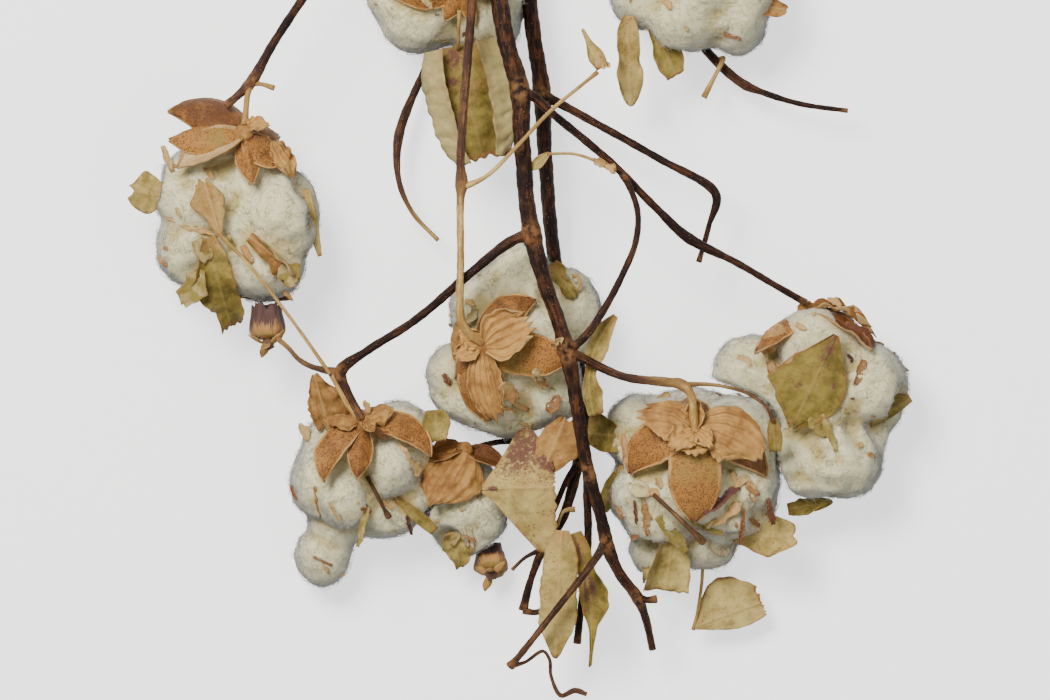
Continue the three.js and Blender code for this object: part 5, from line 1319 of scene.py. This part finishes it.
dressed = [piece for piece in bpy.data.objects if piece.name.endswith(("_bark", "_dry"))]
corners, faces = [], []
for piece in dressed:
    start = len(corners)
    corners += [tuple(vertex.co) for vertex in piece.data.vertices]
    faces += [[start + i for i in face.vertices] for face in piece.data.polygons]
dry_things = BVHTree.FromPolygons(corners, faces)


def height_at(skin, x, y):
    hits = [tree.ray_cast(Vector((x, y, 200)) * MM, Vector((0, 0, -1)))[0] for tree in (skin, dry_things)]
    return max([hit[2] / MM for hit in hits if hit], default=None)


def resting(skin, x0, y0, x1, y1):
    """Both ends of a scrap, on whatever is uppermost there, or against the lint's rim."""
    z0, z1 = height_at(skin, x0, y0), height_at(skin, x1, y1)
    if z0 is None and z1 is None:
        return [np.array(skin.find_nearest(Vector((x, y, RIM_HEIGHT)) * MM)[0]) / MM
                for x, y in ((x0, y0), (x1, y1))]
    return np.array([x0, y0, z1 if z0 is None else z0]), np.array([x1, y1, z0 if z1 is None else z1])


for k, name in enumerate(BOLLS):
    source = frame["nodes"][f"{name}_lint"]
    body = bpy.data.objects.new(f"{name}_felt", source.data.copy())
    bpy.context.scene.collection.objects.link(body)
    body.data.materials.clear()
    apply_modifier(body, "WELD", merge_threshold=0.01 * MM)
    apply_modifier(body, "REMESH", mode="VOXEL", voxel_size=FELT_STEP, use_smooth_shade=True)
    apply_modifier(body, "SMOOTH", factor=0.6, iterations=9)
    for texture, strength in FELT_NOISE:
        apply_modifier(body, "DISPLACE", texture=texture, strength=strength * MM, mid_level=0.5)
    mesh = body.data
    points, normals = vectors(mesh.vertices, "co"), vectors(mesh.vertices, "normal")
    for middle, radius, rise in PUFFS.get(name, []):
        near = np.exp(-(np.linalg.norm(points / MM - middle, axis=1) / radius) ** 2)
        points = points + normals * (near * rise * MM)[:, None]
    points[:, 2] = np.maximum(points[:, 2], FELT_FLOOR)
    mesh.vertices.foreach_set("co", points.ravel())
    mesh.update()
    normals = vectors(mesh.vertices, "normal")
    edges = np.empty(len(mesh.edges) * 2, int)
    mesh.edges.foreach_get("vertices", edges)
    edges = edges.reshape(-1, 2)
    smooth = np.column_stack([spread(points[:, i], edges, 14) for i in range(3)])
    # How far the skin dips below its smoothed self: the mask of its painted hollow shade.
    dip = np.einsum("ij,ij->i", smooth - points, normals) / MM
    hollow_shade = np.clip(spread(dip, edges, 6) * HOLLOW_GAIN, -1, 1)
    # How steep the skin is: the mask of its painted grey shade.
    steep_shade = spread(np.clip((STEEP_FROM - normals[:, 2]) / STEEP_OVER, 0, 1), edges, 4)
    gap = np.array([dry_things.find_nearest(Vector(p))[3] for p in points]) / MM
    touched = np.exp(-(gap / TOUCH_REACH) ** 2)
    form = np.column_stack([steep_shade, hollow_shade, touched, 0 * steep_shade]).astype(np.float32)
    mesh.attributes.new("form", "FLOAT_COLOR", "POINT").data.foreach_set("color", form.ravel())
    mesh.materials.append(cotton)
    in_place(body, "lint", f"{name}_lint")

    # Short fuzz stands off the felt all over, thicker round its rim.
    chance = np.random.default_rng(11 + k)
    side_on = 1 - np.clip(abs(normals[:, 2]) / 0.5, 0, 1)
    weight = (np.clip(normals[:, 2] + 0.4, 0.04, 1) + 0.7 * side_on) * (gap > 0.8)
    weight /= weight.sum()
    seen_area = len(points) * (FELT_STEP / MM) ** 2 / 100 * np.mean(normals[:, 2] > -0.3)  # cm2
    roots = chance.choice(len(points), int(FUZZ_PER_CM2 * seen_area), p=weight)
    out = normals[roots]
    at = points[roots] + chance.normal(0, 0.5, (len(roots), 3)) * MM - out * 0.3 * MM
    x, y, z = at.T / MM
    flow = np.column_stack(
        [ripples(x, y + z, k, 13), ripples(y, z + x, k + 2, 13), ripples(z, x + y, k + 4, 13)])
    flow = flow * 1.3 + chance.normal(0, 0.5, flow.shape)
    flow -= out * np.einsum("ij,ij->i", flow, out)[:, None]
    flow /= np.linalg.norm(flow, axis=1)[:, None]
    aside = np.cross(out, flow) * chance.normal(0, 0.5, (len(roots), 1))
    reach = chance.uniform(*FUZZ_REACH, (len(roots), 1))
    reach = reach * (1 + 0.7 * (chance.random((len(roots), 1)) > 0.93)) * MM
    lift = chance.uniform(*FUZZ_LIFT, (len(roots), 1)) * (1 - 0.35 * touched[roots, None])
    paths = np.stack([at + reach * (flow * t + out * (lift * t - 0.75 * lift * t * t) + aside * t * t)
                      for t in (0, 0.45, 1)], axis=1)
    paths[:, :, 2] = np.maximum(paths[:, :, 2], HAIR_FLOOR)
    # The hairs take their roots' form, so the felt's painted shade and tint reach them too.
    hair_mesh(f"{name}_fuzz", paths, np.repeat(out[:, None], 3, axis=1), FUZZ_RADII, form[roots])

    # The wisps: each starts at one spot and its hairs comb the same way over the felt. That way is
    # from a noise with no fixed seed, so it differs from run to run.
    skin = BVHTree.FromPolygons([tuple(p) for p in points], [tuple(face.vertices) for face in mesh.polygons])
    wisps = int(WISPS_PER_CM2 * seen_area)
    roots = chance.choice(len(points), wisps, p=weight)
    steps = len(WISP_RADII)
    paths = np.empty((wisps * HAIRS_IN_WISP, steps + 1, 3))
    outwards = np.empty_like(paths)
    for i, root in enumerate(roots):
        flow = noise.noise_vector(Vector(points[root]) * 55)
        length = chance.uniform(*WISP_REACH) * MM
        lift = chance.choice(WISP_LIFTS, p=LIFT_CHANCES) * MM
        curl = chance.normal(0, 0.35)
        for j in range(HAIRS_IN_WISP):
            at = Vector(points[root] + chance.normal(0, 1.6, 3) * MM)
            way = flow + Vector(chance.normal(0, 0.2, 3))
            turn = curl + chance.normal(0, 0.22)
            for s in range(steps + 1):
                near, normal, _, _ = skin.find_nearest(at)
                height = 0.08 * MM + lift * (s / steps) ** 1.6 * (0.5 + 0.5 * j / HAIRS_IN_WISP)
                spot = near + normal * height
                paths[i * HAIRS_IN_WISP + j, s] = spot
                outwards[i * HAIRS_IN_WISP + j, s] = normal
                way = way - normal * way.dot(normal)
                way.normalize()
                way = way + normal.cross(way) * turn
                at = spot + way.normalized() * length / steps
    paths[:, :, 2] = np.maximum(paths[:, :, 2], HAIR_FLOOR)
    # The wisps take their roots' form too, and with it the felt's painted shade and tint.
    hair_mesh(f"{name}_wisps", paths, outwards, WISP_RADII, np.repeat(form[roots], HAIRS_IN_WISP, axis=0))

    # Each scrap is bowed over what lies between its ends. Crumbs cling anywhere on the lint.
    parts = []
    for i, (x0, y0, x1, y1, wide, tone, curl) in enumerate(SCRAPS[name]):
        start, end = resting(skin, x0, y0, x1, y1)
        way = end - start
        way[2] = np.clip(way[2], -9, 6)
        over = height_at(skin, *(start[:2] + way[:2] / 2))
        middle = 0 if over is None else max(0, over - start[2] - way[2] / 2)
        size, forward = max(np.linalg.norm(way), wide), unit(way + [0, 0, middle * 1.6])
        side = unit(np.cross(unit(way), (0, 0, 1.0)))
        left, right = np.array(SCRAP_OUTLINES[i % 2]) * wide
        scrap = dict(base=start + [0, 0, 0.7 + middle * 0.3], forward=forward, side=side,
                     normal=np.cross(side, forward), length=size, left=left, right=right, seed=i + 3.3 * k,
                     bend=-math.degrees(middle * 3.2 / size), curl=curl * 0.45, twist=curl * 0.15,
                     thickness=0.35, crinkle=0.6, ragged=1.6 / (wide + 1.5), edge_curl=0.3, grain=0.35)
        rows = max(SCRAP_LEAST_ROWS, int(size / SCRAP_MESH_STEP))
        parts.append(blade_part(scrap, rows, SCRAP_COLUMNS, 0, tone))
    for root in chance.choice(len(points), CRUMBS, p=weight):
        normal, size = normals[root], chance.uniform(1.2, 3.6)
        way = chance.normal(0, 1, 3)
        way = unit(way - normal * way.dot(normal))
        crumb = dict(base=points[root] / MM + normal * 0.5, forward=way, normal=normal,
                     side=np.cross(way, normal), length=size,
                     left=(0.2, size * 0.22, size * 0.3, 0.2), right=(0.3, size * 0.3, size * 0.16, 0.2),
                     bend=chance.uniform(-30, 40), curl=chance.uniform(-30, 60), thickness=0.3, crinkle=0.4,
                     ragged=0.4, grain=0.3, seed=chance.uniform(0, 9))
        parts.append(blade_part(crumb, *CRUMB_MESH, 0, chance.choice(CRUMB_TONES)))
    bits = build(f"{name}_trash", parts, [litter])
    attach(bits, "root")


# ---- loose sticks ------------------------------------------------------------------------------
# A few snapped petioles and twig ends and a hooked tendril lie on the bolls: thin tubes of bark with
# a knob at one end.
STICK_KNOB, STICK_RIDGES = 1.7, 0.08  # shares of the radius
STICKS = [  # points, radius, tone
    ([(-149, 27.5, 37), (-137, 26, 37), (-125, 25, 35), (-118, 26, 34)], 0.7, 0.5),
    ([(-79, -63, 54), (-75, -70, 55), (-71, -78, 52), (-68, -83.5, 48)], 1.0, 0.48),
    ([(64, -72, 61), (70, -77.5, 63), (79, -86, 60), (89, -96, 52)], 1.2, 0.62),
    ([(16, -88.5, 44), (19.5, -80.5, 46), (25, -79.5, 46)], 0.9, 0.75),
    ([(19, 31.5, 46), (22, 28.8, 47), (25.5, 29.8, 48), (27.6, 33.5, 48), (26.2, 37, 48),
      (23.4, 36.6, 48)], 0.8, 1.0),
]
parts = []
for k, (points, radius, tone) in enumerate(STICKS):
    radii = [radius] * (len(points) - 1) + [radius * STICK_KNOB]
    line = through([(*point, thick) for point, thick in zip(points, radii)])
    corners, faces, along_around = tube(line, THIN_SIDES, STICK_RIDGES, k)
    knob = np.clip(along_around[:, 0] / along_around[-1, 0] * 6 - 5, 0, 1)
    parts.append((corners, faces, bark_form(along_around, tone, knob, 90 * k), 0))
sticks = build("loose_sticks", parts, [bark])
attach(sticks, "root")
